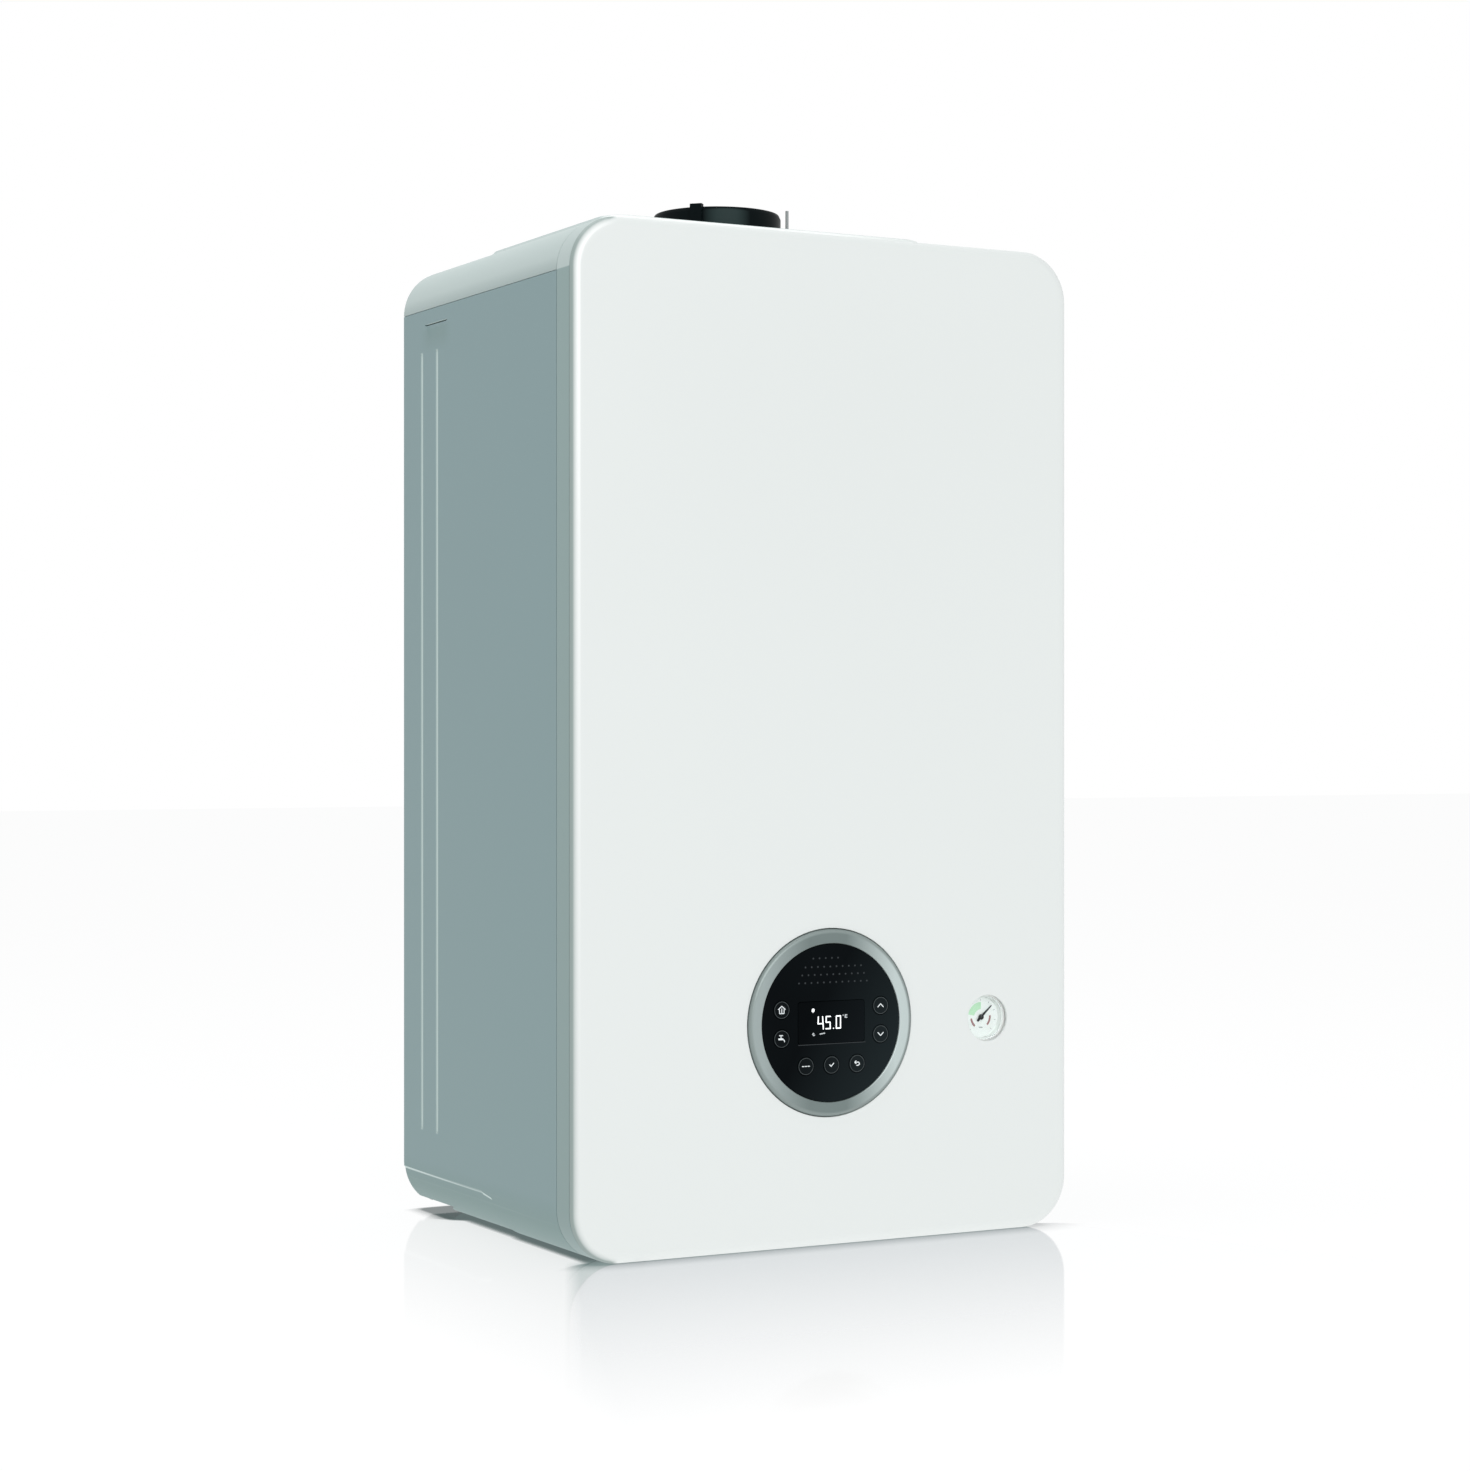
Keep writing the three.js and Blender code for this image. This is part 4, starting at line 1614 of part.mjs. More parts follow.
// The filling tap's lever, which turns a quarter about the tap's axis.
function fillingLever() {
  const back = RELIEF_BACK;
  const front = back - RELIEF_NECK_LENGTH;
  const half = TAP_LEVER_WIDTH / 2;
  const outline = roundedOutline(-half, TAP_LEVER_LENGTH, -half, half, half * TAP_LEVER_ROUND_SHARE);
  const arm = slab(outline, front, back, 2);
  const hub = rodAlongY(TAP_HUB_RADIUS, front - RELIEF_NECK_LENGTH / 2, back, 0, 0);
  return joined(arm, hub);
}

const relief = assembly(BLOCK_X, 0, TAP_Z);
piece(relief, "safety_valve", safetyValve(), finishes.brass);
piece(relief, "safety_knob", safetyKnob(), finishes.red);
const tap = assembly(-BLOCK_X, 0, TAP_Z);
piece(tap, "filling_lever", fillingLever(), finishes.blue);

// Water pipes from the blocks to the drum's two sides.
function waterPipe(side, bottom) {
  const portEnd = side * (DRUM_OUTER + PORT_LENGTH + GAP);
  const x = side * BLOCK_X;
  const bend = 2 * GAS_PIPE_RADIUS;
  const reach = side * (DRUM_OUTER + PORT_LENGTH + WATER_PIPE_REACH_LENGTH);
  const path = route([
    [x, STUB_Y, bottom],
    [x, STUB_Y, DRUM_HEIGHT - 4 * bend],
    [reach, PORT_Y, DRUM_HEIGHT - 2 * bend],
    [reach, PORT_Y, DRUM_HEIGHT],
    [portEnd, PORT_Y, DRUM_HEIGHT],
  ], WATER_PIPE_BEND_RADIUS);
  const nutEnds = [portEnd, portEnd + side * bend];
  const nut = rodAlongX(PORT_RADIUS, Math.min(...nutEnds), Math.max(...nutEnds), PORT_Y, DRUM_HEIGHT,
    SIDES_HEX);
  return joined(tube(path, GAS_PIPE_RADIUS), nut);
}

// The condensate trap: a bottle with the pipe from the drum on top and its outlet below.
function condensateTrap() {
  const top = TRAP_BOTTOM + TRAP_HEIGHT;
  const pipeTop = DRUM_HEIGHT - DRUM_OUTER - PORT_LENGTH - GAP;
  return turnedAlongZ([
    [0, STUB_BOTTOM],
    [TRAP_OUTLET_RADIUS, STUB_BOTTOM],
    [TRAP_OUTLET_RADIUS, TRAP_BOTTOM],
    [TRAP_RADIUS, TRAP_BOTTOM + TRAP_OUTLET_RADIUS],
    [TRAP_RADIUS, top - TRAP_OUTLET_RADIUS],
    [TRAP_PIPE_RADIUS, top],
    [TRAP_PIPE_RADIUS, pipeTop - PORT_LENGTH],
    [PORT_RADIUS, pipeTop - PORT_LENGTH],
    [PORT_RADIUS, pipeTop],
    [0, pipeTop],
  ]);
}

function vesselPipe() {
  const drop = VESSEL_RADIUS * VESSEL_PORT_DROP_SHARE;
  const start = [VESSEL_RADIUS / 2, VESSEL_FRONT - GAP, VESSEL_HEIGHT - drop];
  const y = (BLOCK_BACK + VESSEL_FRONT) / 2;
  const end = [BLOCK_X, BLOCK_BACK + GAP, TAP_Z];
  const path = route([start, [start[0], y, start[2]], [BLOCK_X, y, VESSEL_HEIGHT / 2],
    [BLOCK_X, y, TAP_Z], end],
    VESSEL_PIPE_RADIUS * 2);
  return tube(path, VESSEL_PIPE_RADIUS);
}

piece(hydraulics, "flow_pipe", waterPipe(-1, BLOCK_TOP + BLOCK_EDGE + GAP), finishes.copper);
piece(hydraulics, "return_pipe", waterPipe(1, PUMP_HEIGHT + PUMP_RADIUS + PUMP_OUTLET_RISE + GAP),
  finishes.copper);
piece(hydraulics, "condensate_trap", condensateTrap(), finishes.greyPlastic).position.set(TRAP_X, TRAP_Y, 0);
piece(hydraulics, "vessel_pipe", vesselPipe(), finishes.copper);

export default boiler;
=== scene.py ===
# The look of the condensing boiler, on the frame of its CAD nodes.
# Sizes are in millimetres until a mesh is made, which is in metres.
import json
import math
import bmesh
import bpy
from mathutils import Matrix, Vector


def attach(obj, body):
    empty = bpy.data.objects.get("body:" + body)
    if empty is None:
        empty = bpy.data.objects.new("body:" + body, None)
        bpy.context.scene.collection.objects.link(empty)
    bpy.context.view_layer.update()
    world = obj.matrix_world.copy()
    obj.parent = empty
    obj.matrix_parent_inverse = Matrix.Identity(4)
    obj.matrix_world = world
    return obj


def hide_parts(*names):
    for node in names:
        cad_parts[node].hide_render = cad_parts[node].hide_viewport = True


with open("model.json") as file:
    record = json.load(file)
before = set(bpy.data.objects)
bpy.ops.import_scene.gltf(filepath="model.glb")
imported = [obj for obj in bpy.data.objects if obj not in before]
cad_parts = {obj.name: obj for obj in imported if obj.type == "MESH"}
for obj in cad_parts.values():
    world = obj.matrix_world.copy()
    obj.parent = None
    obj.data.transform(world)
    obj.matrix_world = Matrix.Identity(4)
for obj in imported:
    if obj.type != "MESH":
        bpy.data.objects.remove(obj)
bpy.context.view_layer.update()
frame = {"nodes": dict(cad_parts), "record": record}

MM = 0.001

# Sizes repeated from the CAD.
WIDTH, HEIGHT, BACK = 400, 710, 150
HALF = WIDTH / 2
FRONT = -148
CORNER = 36
SHEET = 1.5
SIDE_SHEET = 2
GAP = 0.3
SEAM = 0.4
PANEL_SHEET = 1.8
PANEL_RIM = 4.8
FRAME_DEPTH = 25
PANEL_BACK_FACE = FRONT + PANEL_SHEET
PANEL_RIM_BACK = FRONT + PANEL_RIM
FRAME_FRONT = PANEL_RIM_BACK + GAP
FRAME_BACK = FRONT + FRAME_DEPTH
SIDE_FRONT = FRAME_BACK + SEAM
SHOULDER = HEIGHT - CORNER
PLATEAU_TOP = HEIGHT + 7
FLUE = (0, 22.6)
FLANGE_BOTTOM = PLATEAU_TOP + GAP
ADAPTER_TOP = 747
RING_Z = 156.5
RING_FRONT = FRONT - 2
FASCIA_FRONT = RING_FRONT + 0.5
FASCIA_BACK = FASCIA_FRONT + 3
BOX_FRONT = FRONT + 10
GAUGE_X, GAUGE_Z = 131, 154
GAUGE_RADIUS, GAUGE_BORE = 19, 16
GAUGE_FRONT = FRONT + 3.6
DIAL_Y = GAUGE_FRONT + 6
GAUGE_BACK = GAUGE_FRONT + 30
KEY_RADIUS = 6.4
# Places of the keys from the middle of the disc.
KEYS = {
    "key_heating": (-40, 10.5),
    "key_hot_water": (-40, -9.6),
    "key_up": (40, 10.5),
    "key_down": (40, -9.6),
    "key_menu": (-20.7, -29.6),
    "key_ok": (0, -29.6),
    "key_back": (20.7, -29.6),
}

# Sizes fitted to the photograph, which differ from the CAD's by a few millimetres at most.
REAR_LIFT = 9.3
LIFT_TOP_Y, LIFT_FOOT_Y = 85, 119
LEDGE_STEP = 0.8
LEDGE_LOW, LEDGE_HIGH = 24.3, 26.3
LEDGE_KINK_Y = 5.5
BEADS = (114.7, 86.0)
BEAD_BOTTOM, BEAD_TOP = 65, 642
BEAD_WIDTH, BEAD_DEPTH = 4.4, 1
SLIT_FRONT, SLIT_BACK = 65.5, 109.5
SLIT_BOTTOM, SLIT_TOP = 662.3, 663.15
SCOOP_BOTTOM, SCOOP_TOP = 640, 664.4
RING_RADIUS = 65.9
RING_WIDTH = 10.2
BEVEL_WIDTH, BEVEL_FULL = 3.4, 1.9
FASCIA_RADIUS = RING_RADIUS - RING_WIDTH - GAP
WINDOW_HALF, WINDOW_BOTTOM, WINDOW_TOP = 27, RING_Z - 14.5, RING_Z + 15.5
WINDOW_CORNER = 2

# How far the cutting shapes reach past the part.
FAR_X, FAR_Y, UNDER = 400, 300, 5


# Materials.
TONE_DETAIL, GRAIN_DETAIL = 3, 2
TONE_START, TONE_END = 0.3, 0.7
GRAIN_SCALE = 900
GRAIN_DEPTH = 0.2
ROUGH_SPREAD = 0.06
LEAST_ROUGHNESS = 0.02
COAT_ROUGHNESS = 0.08


def shader(name, color, roughness, metallic=0.0, specular=0.5, tone=0.04, tone_scale=6.0,
           grain=0.0, coat=0.0):
    """A surface whose tone and roughness vary a little, with a fine grain if asked."""
    material = bpy.data.materials.new(name)
    material.use_nodes = True
    nodes, links = material.node_tree.nodes, material.node_tree.links
    surface = nodes["Principled BSDF"]
    surface.inputs["Metallic"].default_value = metallic
    surface.inputs["Specular IOR Level"].default_value = specular
    surface.inputs["Coat Weight"].default_value = coat
    surface.inputs["Coat Roughness"].default_value = COAT_ROUGHNESS
    place = nodes.new("ShaderNodeTexCoord")

    def noise_node(scale, detail):
        noise = nodes.new("ShaderNodeTexNoise")
        noise.inputs["Scale"].default_value = scale
        noise.inputs["Detail"].default_value = detail
        links.new(place.outputs["Object"], noise.inputs["Vector"])
        return noise.outputs["Fac"]

    noise = noise_node(tone_scale, TONE_DETAIL)
    ramp = nodes.new("ShaderNodeValToRGB")
    for stop, position, share in zip(ramp.color_ramp.elements, (TONE_START, TONE_END),
                                     (1 - tone, 1 + tone)):
        stop.position = position
        stop.color = [min(1, part * share) for part in color] + [1]
    links.new(noise, ramp.inputs["Fac"])
    links.new(ramp.outputs["Color"], surface.inputs["Base Color"])
    spread = nodes.new("ShaderNodeMapRange")
    spread.inputs["To Min"].default_value = max(LEAST_ROUGHNESS, roughness - ROUGH_SPREAD / 2)
    spread.inputs["To Max"].default_value = min(1, roughness + ROUGH_SPREAD / 2)
    links.new(noise, spread.inputs["Value"])
    links.new(spread.outputs["Result"], surface.inputs["Roughness"])
    if grain:
        bump = nodes.new("ShaderNodeBump")
        bump.inputs["Strength"].default_value = grain
        bump.inputs["Distance"].default_value = GRAIN_DEPTH * MM
        links.new(noise_node(GRAIN_SCALE, GRAIN_DETAIL), bump.inputs["Height"])
        links.new(bump.outputs["Normal"], surface.inputs["Normal"])
    return material


def lit(name, color, strength):
    """A mark that is lit from behind."""
    material = shader(name, color, 0.5, specular=0.2)
    surface = material.node_tree.nodes["Principled BSDF"]
    surface.inputs["Emission Color"].default_value = [*color, 1]
    surface.inputs["Emission Strength"].default_value = strength
    return material


def clear(name):
    material = shader(name, (0.95, 0.98, 0.98), 0.03, tone=0.005)
    surface = material.node_tree.nodes["Principled BSDF"]
    surface.inputs["Transmission Weight"].default_value = 1.0
    surface.inputs["IOR"].default_value = 1.1
    return material


WHITE = shader("white_enamel", (0.762, 0.795, 0.782), 0.42, tone=0.012, tone_scale=2.5, grain=0.03,
               coat=0.15)
GREY = shader("grey_powder_coat", (0.217, 0.318, 0.329), 0.5, tone=0.02, tone_scale=3, grain=0.12)
FLANGE = shader("grey_flange_paint", (0.252, 0.353, 0.344), 0.45, tone=0.02, tone_scale=3,
                grain=0.1)
COVER = shader("light_grey_paint", (0.475, 0.562, 0.548), 0.45, tone=0.02, tone_scale=3, grain=0.1)
STEEL = shader("galvanised_steel", (0.58, 0.60, 0.61), 0.38, metallic=0.9, tone=0.10,
               tone_scale=40, grain=0.1)
CAST = shader("cast_aluminium", (0.60, 0.61, 0.62), 0.5, metallic=0.85, tone=0.08, tone_scale=30,
              grain=0.5)
WIRE = shader("dull_steel_wire", (0.24, 0.26, 0.26), 0.45, metallic=0.5, tone=0.08, tone_scale=40)
STAINLESS = shader("stainless_steel", (0.66, 0.67, 0.68), 0.28, metallic=1, tone=0.05,
                   tone_scale=25)
BRASS = shader("machined_brass", (0.66, 0.46, 0.19), 0.32, metallic=1, tone=0.08, tone_scale=30)
COPPER = shader("copper_tube", (0.68, 0.32, 0.19), 0.3, metallic=1, tone=0.08, tone_scale=30)
BLACK = shader("black_plastic", (0.0030, 0.0058, 0.0066), 0.40, specular=0.04, tone=0.1,
               tone_scale=20, grain=0.15)
GLOSS = shader("gloss_black", (0.003, 0.0045, 0.0055), 0.12, specular=0.02, tone=0.15,
               tone_scale=18)
KEY_FACE = shader("key_gloss", (0.004, 0.006, 0.007), 0.16, specular=0.03, tone=0.1, tone_scale=60)
SMOKED = shader("smoked_window", (0.0018, 0.0028, 0.0035), 0.08, specular=0.02, tone=0.1,
                tone_scale=30)
SATIN = shader("satin_ring", (0.172, 0.216, 0.210), 0.36, metallic=0.35, tone=0.04, tone_scale=12,
               grain=0.1)
GREY_PLASTIC = shader("grey_plastic", (0.10, 0.11, 0.115), 0.55, tone=0.06, tone_scale=20,
                      grain=0.2)
BOARD = shader("solder_mask", (0.015, 0.10, 0.045), 0.5, tone=0.25, tone_scale=160)
DIAL = shader("dial_white", (0.97, 0.99, 0.965), 0.5, tone=0.015, tone_scale=20)
NEEDLE = shader("needle_black", (0.012, 0.013, 0.015), 0.5, tone=0.1)
RUBBER = shader("rubber", (0.018, 0.018, 0.02), 0.8, tone=0.1, grain=0.2)
RED = shader("red_plastic", (0.42, 0.03, 0.02), 0.42, tone=0.06)
BLUE = shader("blue_plastic", (0.02, 0.08, 0.28), 0.42, tone=0.06)
VESSEL = shader("red_vessel_paint", (0.30, 0.02, 0.018), 0.4, tone=0.06, tone_scale=10, grain=0.1)
CERAMIC = shader("ceramic", (0.76, 0.73, 0.64), 0.35, tone=0.04, tone_scale=60)
LENS = clear("clear_lens")
LIT_WHITE = lit("lit_white", (0.85, 0.88, 0.88), 0.75)
LIT_KEYS = lit("lit_keys", (0.62, 0.66, 0.67), 0.42)
LIT_SOFT = lit("lit_soft", (0.42, 0.45, 0.46), 0.30)
FAINT = shader("faint_print", (0.030, 0.036, 0.040), 0.4, specular=0.2, tone=0.1, tone_scale=200)
KEY_RIM = shader("key_rim", (0.065, 0.076, 0.080), 0.4, specular=0.2, tone=0.2, tone_scale=300)
GREEN_INK = shader("green_ink", (0.56, 0.84, 0.58), 0.5, tone=0.05)
RED_INK = shader("red_ink", (0.34, 0.16, 0.16), 0.5, tone=0.05)
GREY_INK = shader("grey_ink", (0.35, 0.37, 0.36), 0.5, tone=0.05)

SLOT_LOOKS = {
    "white_panel": WHITE, "grey_panel": GREY, "grey_flange": FLANGE, "light_grey_cover": COVER,
    "steel": STEEL, "cast_aluminium": CAST, "stainless": STAINLESS, "brass": BRASS,
    "copper": COPPER, "black_plastic": BLACK, "gloss_black": GLOSS, "satin_ring": SATIN,
    "display_black": SMOKED, "key_black": KEY_FACE, "grey_plastic": GREY_PLASTIC,
    "circuit_board": BOARD, "gauge_white": DIAL, "needle_black": NEEDLE, "clear_lens": LENS,
    "rubber": RUBBER, "red_plastic": RED, "blue_plastic": BLUE, "red_vessel": VESSEL,
    "ceramic": CERAMIC,
}
node_slots = {part["node"]: part["material_slot"] for part in frame["record"]["subparts"]}
node_bodies = {node: body for body, nodes in frame["record"]["behaviour"]["bodies"].items()
               for node in nodes}
for name, node in frame["nodes"].items():
    for slot in node.material_slots:
        slot.material = WIRE if name == "flue_clip" else SLOT_LOOKS[node_slots[name]]


# Node maths. The owner of the nodes is a material or the world.
def math_node(owner, operation, first, second=0.0):
    """A maths node on two numbers, or on the outputs of other nodes."""
    node = owner.node_tree.nodes.new("ShaderNodeMath")
    node.operation = operation
    for socket, value in zip(node.inputs, (first, second)):
        if isinstance(value, (int, float)):
            socket.default_value = value
        else:
            owner.node_tree.links.new(value, socket)
    return node.outputs[0]


def product(owner, *factors):
    result = factors[0]
    for factor in factors[1:]:
        result = math_node(owner, "MULTIPLY", result, factor)
    return result


def ramp_node(owner, value, low, high):
    """0 up to low and 1 from high on, where low may also be the larger one."""
    node = owner.node_tree.nodes.new("ShaderNodeMapRange")
    node.inputs["From Min"].default_value = low
    node.inputs["From Max"].default_value = high
    owner.node_tree.links.new(value, node.inputs["Value"])
    return node.outputs["Result"]


def ramp_mm(owner, value, low, high):
    return ramp_node(owner, value, low * MM, high * MM)


def distance_from(owner, value, middle):
    return math_node(owner, "ABSOLUTE", math_node(owner, "SUBTRACT", value, middle * MM))


def axis_sockets(owner, kind, output):
    nodes, links = owner.node_tree.nodes, owner.node_tree.links
    source, split = nodes.new(kind), nodes.new("ShaderNodeSeparateXYZ")
    links.new(source.outputs[output], split.inputs["Vector"])
    return [split.outputs[axis] for axis in "XYZ"]


def place_sockets(owner):
    return axis_sockets(owner, "ShaderNodeTexCoord", "Object")


def normal_sockets(owner, output="Normal"):
    return axis_sockets(owner, "ShaderNodeNewGeometry", output)


# The mix node has sockets for every kind of data: these are the ones for its factor and colours.
MIX_INPUTS, MIX_OUTPUT = (0, 6, 7), 2


def tinted(material, color, mask):
    """Lays a second colour over the first where the mask is 1. A mask takes a material and the
    sockets of a place, and gives a socket."""
    nodes, links = material.node_tree.nodes, material.node_tree.links
    target = nodes["Principled BSDF"].inputs["Base Color"]
    mix = nodes.new("ShaderNodeMix")
    mix.data_type = "RGBA"
    factor, under, over = [mix.inputs[i] for i in MIX_INPUTS]
    links.new(mask(material, *place_sockets(material)), factor)
    links.new(target.links[0].from_socket, under)
    over.default_value = [*color, 1]
    links.new(mix.outputs[MIX_OUTPUT], target)


# Masks, and makers of masks, with sizes in millimetres.
def all_of(*masks):
    return lambda material, *place: product(material, *[mask(material, *place) for mask in masks])


def facing(direction, low, high):
    """Where the surface looks along a direction."""
    def mask(material, *_):
        shares = [math_node(material, "MULTIPLY", socket, part)
                  for socket, part in zip(normal_sockets(material), direction)]
        level = math_node(material, "ADD", shares[0], shares[1])
        return ramp_node(material, math_node(material, "ADD", level, shares[2]), low, high)
    return mask


def above(height, blur=0.4):
    return lambda material, x, y, z: ramp_mm(material, z, height - blur, height + blur)


def below(low, high):
    """1 at the low height and 0 at the high one."""
    return lambda material, x, y, z: ramp_mm(material, z, high, low)


def toward(low, high, side=1):
    """Rises with the distance to one side of the middle."""
    return lambda material, x, y, z: ramp_mm(material, x, low * side, high * side)


def rightward(low, high, drop):
    """Rises to the right and, by drop, downwards, across the control disc."""
    def mask(material, x, _, z):
        depth = math_node(material, "SUBTRACT", RING_Z * MM, z)
        fall = math_node(material, "MULTIPLY", depth, drop)
        return ramp_mm(material, math_node(material, "ADD", x, fall), low, high)
    return mask


def in_reflections(material, *_):
    return material.node_tree.nodes.new("ShaderNodeLightPath").outputs["Is Glossy Ray"]


# Where the beads get their painted highlight.
def bead_mask(material, _, y, z):
    near = [distance_from(material, y, bead) for bead in BEADS]
    half, reach = BEAD_WIDTH / 2, (BEAD_TOP - BEAD_BOTTOM) / 2
    line = ramp_mm(material, math_node(material, "MINIMUM", *near), half + 0.2, half - 0.8)
    along = distance_from(material, z, (BEAD_BOTTOM + BEAD_TOP) / 2)
    return product(material, line, ramp_mm(material, along, reach + 1.5, reach - 0.5))


# Where the ledge's step gets its painted highlight.
def ledge_mask(material, _, y, z):
    """The narrow step of the ledge, which looks down. Its kink is told by the faces' own
    normals, since smoothing blends it with the sheet below."""
    down = ramp_node(material, normal_sockets(material)[2], -0.3, -0.42)
    face_down = ramp_node(material, normal_sockets(material, "True Normal")[2], -0.33, -0.37)
    ahead = ramp_mm(material, y, LEDGE_KINK_Y + 1, LEDGE_KINK_Y - 1)
    kink = product(material, face_down, ahead)
    return product(material, math_node(material, "MAXIMUM", down, kink),
                   ramp_mm(material, z, LEDGE_LOW, LEDGE_HIGH))


# Where the scoop gets its painted shade.
def scoop_mask(material, _, y, z):
    half = (SLIT_BACK - SLIT_FRONT) / 2
    aside = distance_from(material, y, (SLIT_FRONT + SLIT_BACK) / 2)
    return product(material, ramp_mm(material, aside, half + 7, half - 7),
                   ramp_mm(material, z, SCOOP_BOTTOM + 1, SCOOP_BOTTOM + 13),
                   ramp_mm(material, z, SLIT_BOTTOM - 0.8, SLIT_BOTTOM - 3.8))


# Where the satin ring's bevel gets its painted shade.
def bevel_mask(material, x, _, z):
    """The outer bevel of the satin ring."""
    rise = math_node(material, "SUBTRACT", z, RING_Z * MM)
    squares = [math_node(material, "MULTIPLY", side, side) for side in (x, rise)]
    radius = math_node(material, "SQRT", math_node(material, "ADD", *squares))
    return ramp_mm(material, radius, RING_RADIUS - BEVEL_WIDTH, RING_RADIUS - BEVEL_FULL)


LEFT, FORWARD = (-1, 0, 0), (0, -1, 0)
LEFT_EDGE = all_of(facing(LEFT, 0.02, 0.12), toward(90, 100, -1))
ROOF_FRONT = all_of(above(HEIGHT + 0.7), facing(FORWARD, 0.2, 0.5))
TINTS = (
    # The white front: painted light toward its bottom, a painted highlight on its rim and then
    # painted shade round its left edge, and a painted reflection that shows it dimmer in the floor
    # than seen directly.
    (WHITE, (0.802, 0.836, 0.823), below(0, 650)),
    (WHITE, (0.95, 0.97, 0.96), all_of(LEFT_EDGE, facing(FORWARD, 0.999, 0.985), below(700, 60))),
    (WHITE, (0.30, 0.37, 0.355), all_of(LEFT_EDGE, facing(FORWARD, 0.99, 0.72))),
    (WHITE, (0.52, 0.56, 0.575), in_reflections),
    # The sides: painted light toward the bottom, greener below the ledge, painted shade in the
    # scoop, and painted highlights on the beads and on the ledge's step.
    (GREY, (0.235, 0.342, 0.350), below(0, 650)),
    (GREY, (0.203, 0.308, 0.299), below(22, 42)),
    (GREY, (0.195, 0.292, 0.292), scoop_mask),
    (GREY, (0.57, 0.685, 0.66), bead_mask),
    (GREY, (0.60, 0.72, 0.70), ledge_mask),
    # The flange and the top cover: light above the seam, with painted shade in a darker band along
    # it and a painted highlight that makes the front of the plateau brightest, a little less to the
    # right.
    (FLANGE, (0.475, 0.562, 0.548), above(SHOULDER + SEAM)),
    (COVER, (0.370, 0.455, 0.445), below(SHOULDER + 1, SHOULDER + 10)),
    (COVER, (0.93, 0.955, 0.94), ROOF_FRONT),
    (COVER, (0.78, 0.82, 0.80), all_of(ROOF_FRONT, toward(20, 80))),
    # The flue socket: a soft streak of light.
    (BLACK, (0.030, 0.047, 0.047), all_of(above(HEIGHT), facing((-0.32, -0.95, 0), 0.93, 0.99))),
    # The satin ring: a painted sheen that makes it bright to the left and right, with painted shade
    # on a darker bevel.
    (SATIN, (0.335, 0.395, 0.390), toward(18, 54, -1)),
    (SATIN, (0.53, 0.61, 0.60), toward(12, 52)),
    (SATIN, (0.25, 0.30, 0.29), bevel_mask),
    # The black disc, its keys and window: a painted sheen that makes them lighter toward the lower
    # right.
    (GLOSS, (0.013, 0.019, 0.021), rightward(-15, 60, 0.6)),
    (KEY_FACE, (0.013, 0.019, 0.021), rightward(-15, 60, 0.6)),
    (SMOKED, (0.007, 0.010, 0.012), rightward(-20, 50, 0.6)),
)
for tint in TINTS:
    tinted(*tint)


# Outlines in X and Z.
def rounded(left, right, bottom, top, radius, steps):
    points = []
    corners = ((right - radius, bottom + radius), (right - radius, top - radius),
               (left + radius, top - radius), (left + radius, bottom + radius))
    for turn, (x, z) in enumerate(corners):
        for i in range(steps + 1):
            angle = math.radians(90 * (turn - 1 + i / steps))
            points.append((x + radius * math.cos(angle), z + radius * math.sin(angle)))
    return points


def casing(inset):
    return rounded(inset - HALF, HALF - inset, inset, HEIGHT - inset, CORNER - inset, steps=18)


def window(inset):
    return rounded(inset - WINDOW_HALF, WINDOW_HALF - inset, WINDOW_BOTTOM + inset,
                   WINDOW_TOP - inset, WINDOW_CORNER, steps=6)


def circle(x, z, radius, steps=96):
    turns = [2 * math.pi * i / steps for i in range(steps)]
    return [(x + radius * math.cos(t), z + radius * math.sin(t)) for t in turns]


def arc(radius, steps, start=0, end=360):
    turns = [math.radians(start + (end - start) * i / steps) for i in range(steps + 1)]
    return [(radius * math.cos(t), radius * math.sin(t)) for t in turns]


def edge_path(width, depth, y, steps=8):
    """The rounding of a front edge, from its side to its face, as insets and depths."""
    turns = [math.pi / 2 * i / steps for i in range(steps + 1)]
    return [(width * (1 - math.cos(t)), y + depth * (1 - math.sin(t))) for t in turns]


# Meshes that are made from outlines.
def ring(mesh, loop, y):
    return [mesh.verts.new((x * MM, y * MM, z * MM)) for x, z in loop]


def level_ring(mesh, loop, z):
    return [mesh.verts.new((x * MM, y * MM, z * MM)) for x, y in loop]


def wall(mesh, first, second):
    count = len(first)
    for i in range(count):
        j = (i + 1) % count
        mesh.faces.new((first[i], first[j], second[j], second[i]))


def walls(mesh, rings):
    for first, second in zip(rings, rings[1:]):
        wall(mesh, first, second)


def cap(mesh, *rings):
    edges = []
    for loop in rings:
        for i, corner in enumerate(loop):
            after = loop[(i + 1) % len(loop)]
            edges.append(mesh.edges.get((corner, after)) or mesh.edges.new((corner, after)))
    bmesh.ops.triangle_fill(mesh, edges=edges, use_beauty=True, use_dissolve=False)


def cap_ends(mesh, rings):
    cap(mesh, rings[0])
    cap(mesh, rings[-1])


def sweep(mesh, outline, path):
    """Rings of an outline along a path of inset and depth, with walls between them."""
    rings = [ring(mesh, outline(inset), y) for inset, y in path]
    walls(mesh, rings)
    return rings


def pan(mesh, outline, path, holes):
    """A sheet with holes: path runs from its back face over its edge to its front face."""
    rings = sweep(mesh, outline, path)
    inner = [sweep(mesh, hole, hole_path) for hole, hole_path in holes]
    cap(mesh, rings[-1], *[loops[0] for loops in inner])
    cap(mesh, rings[0], *[loops[-1] for loops in inner])


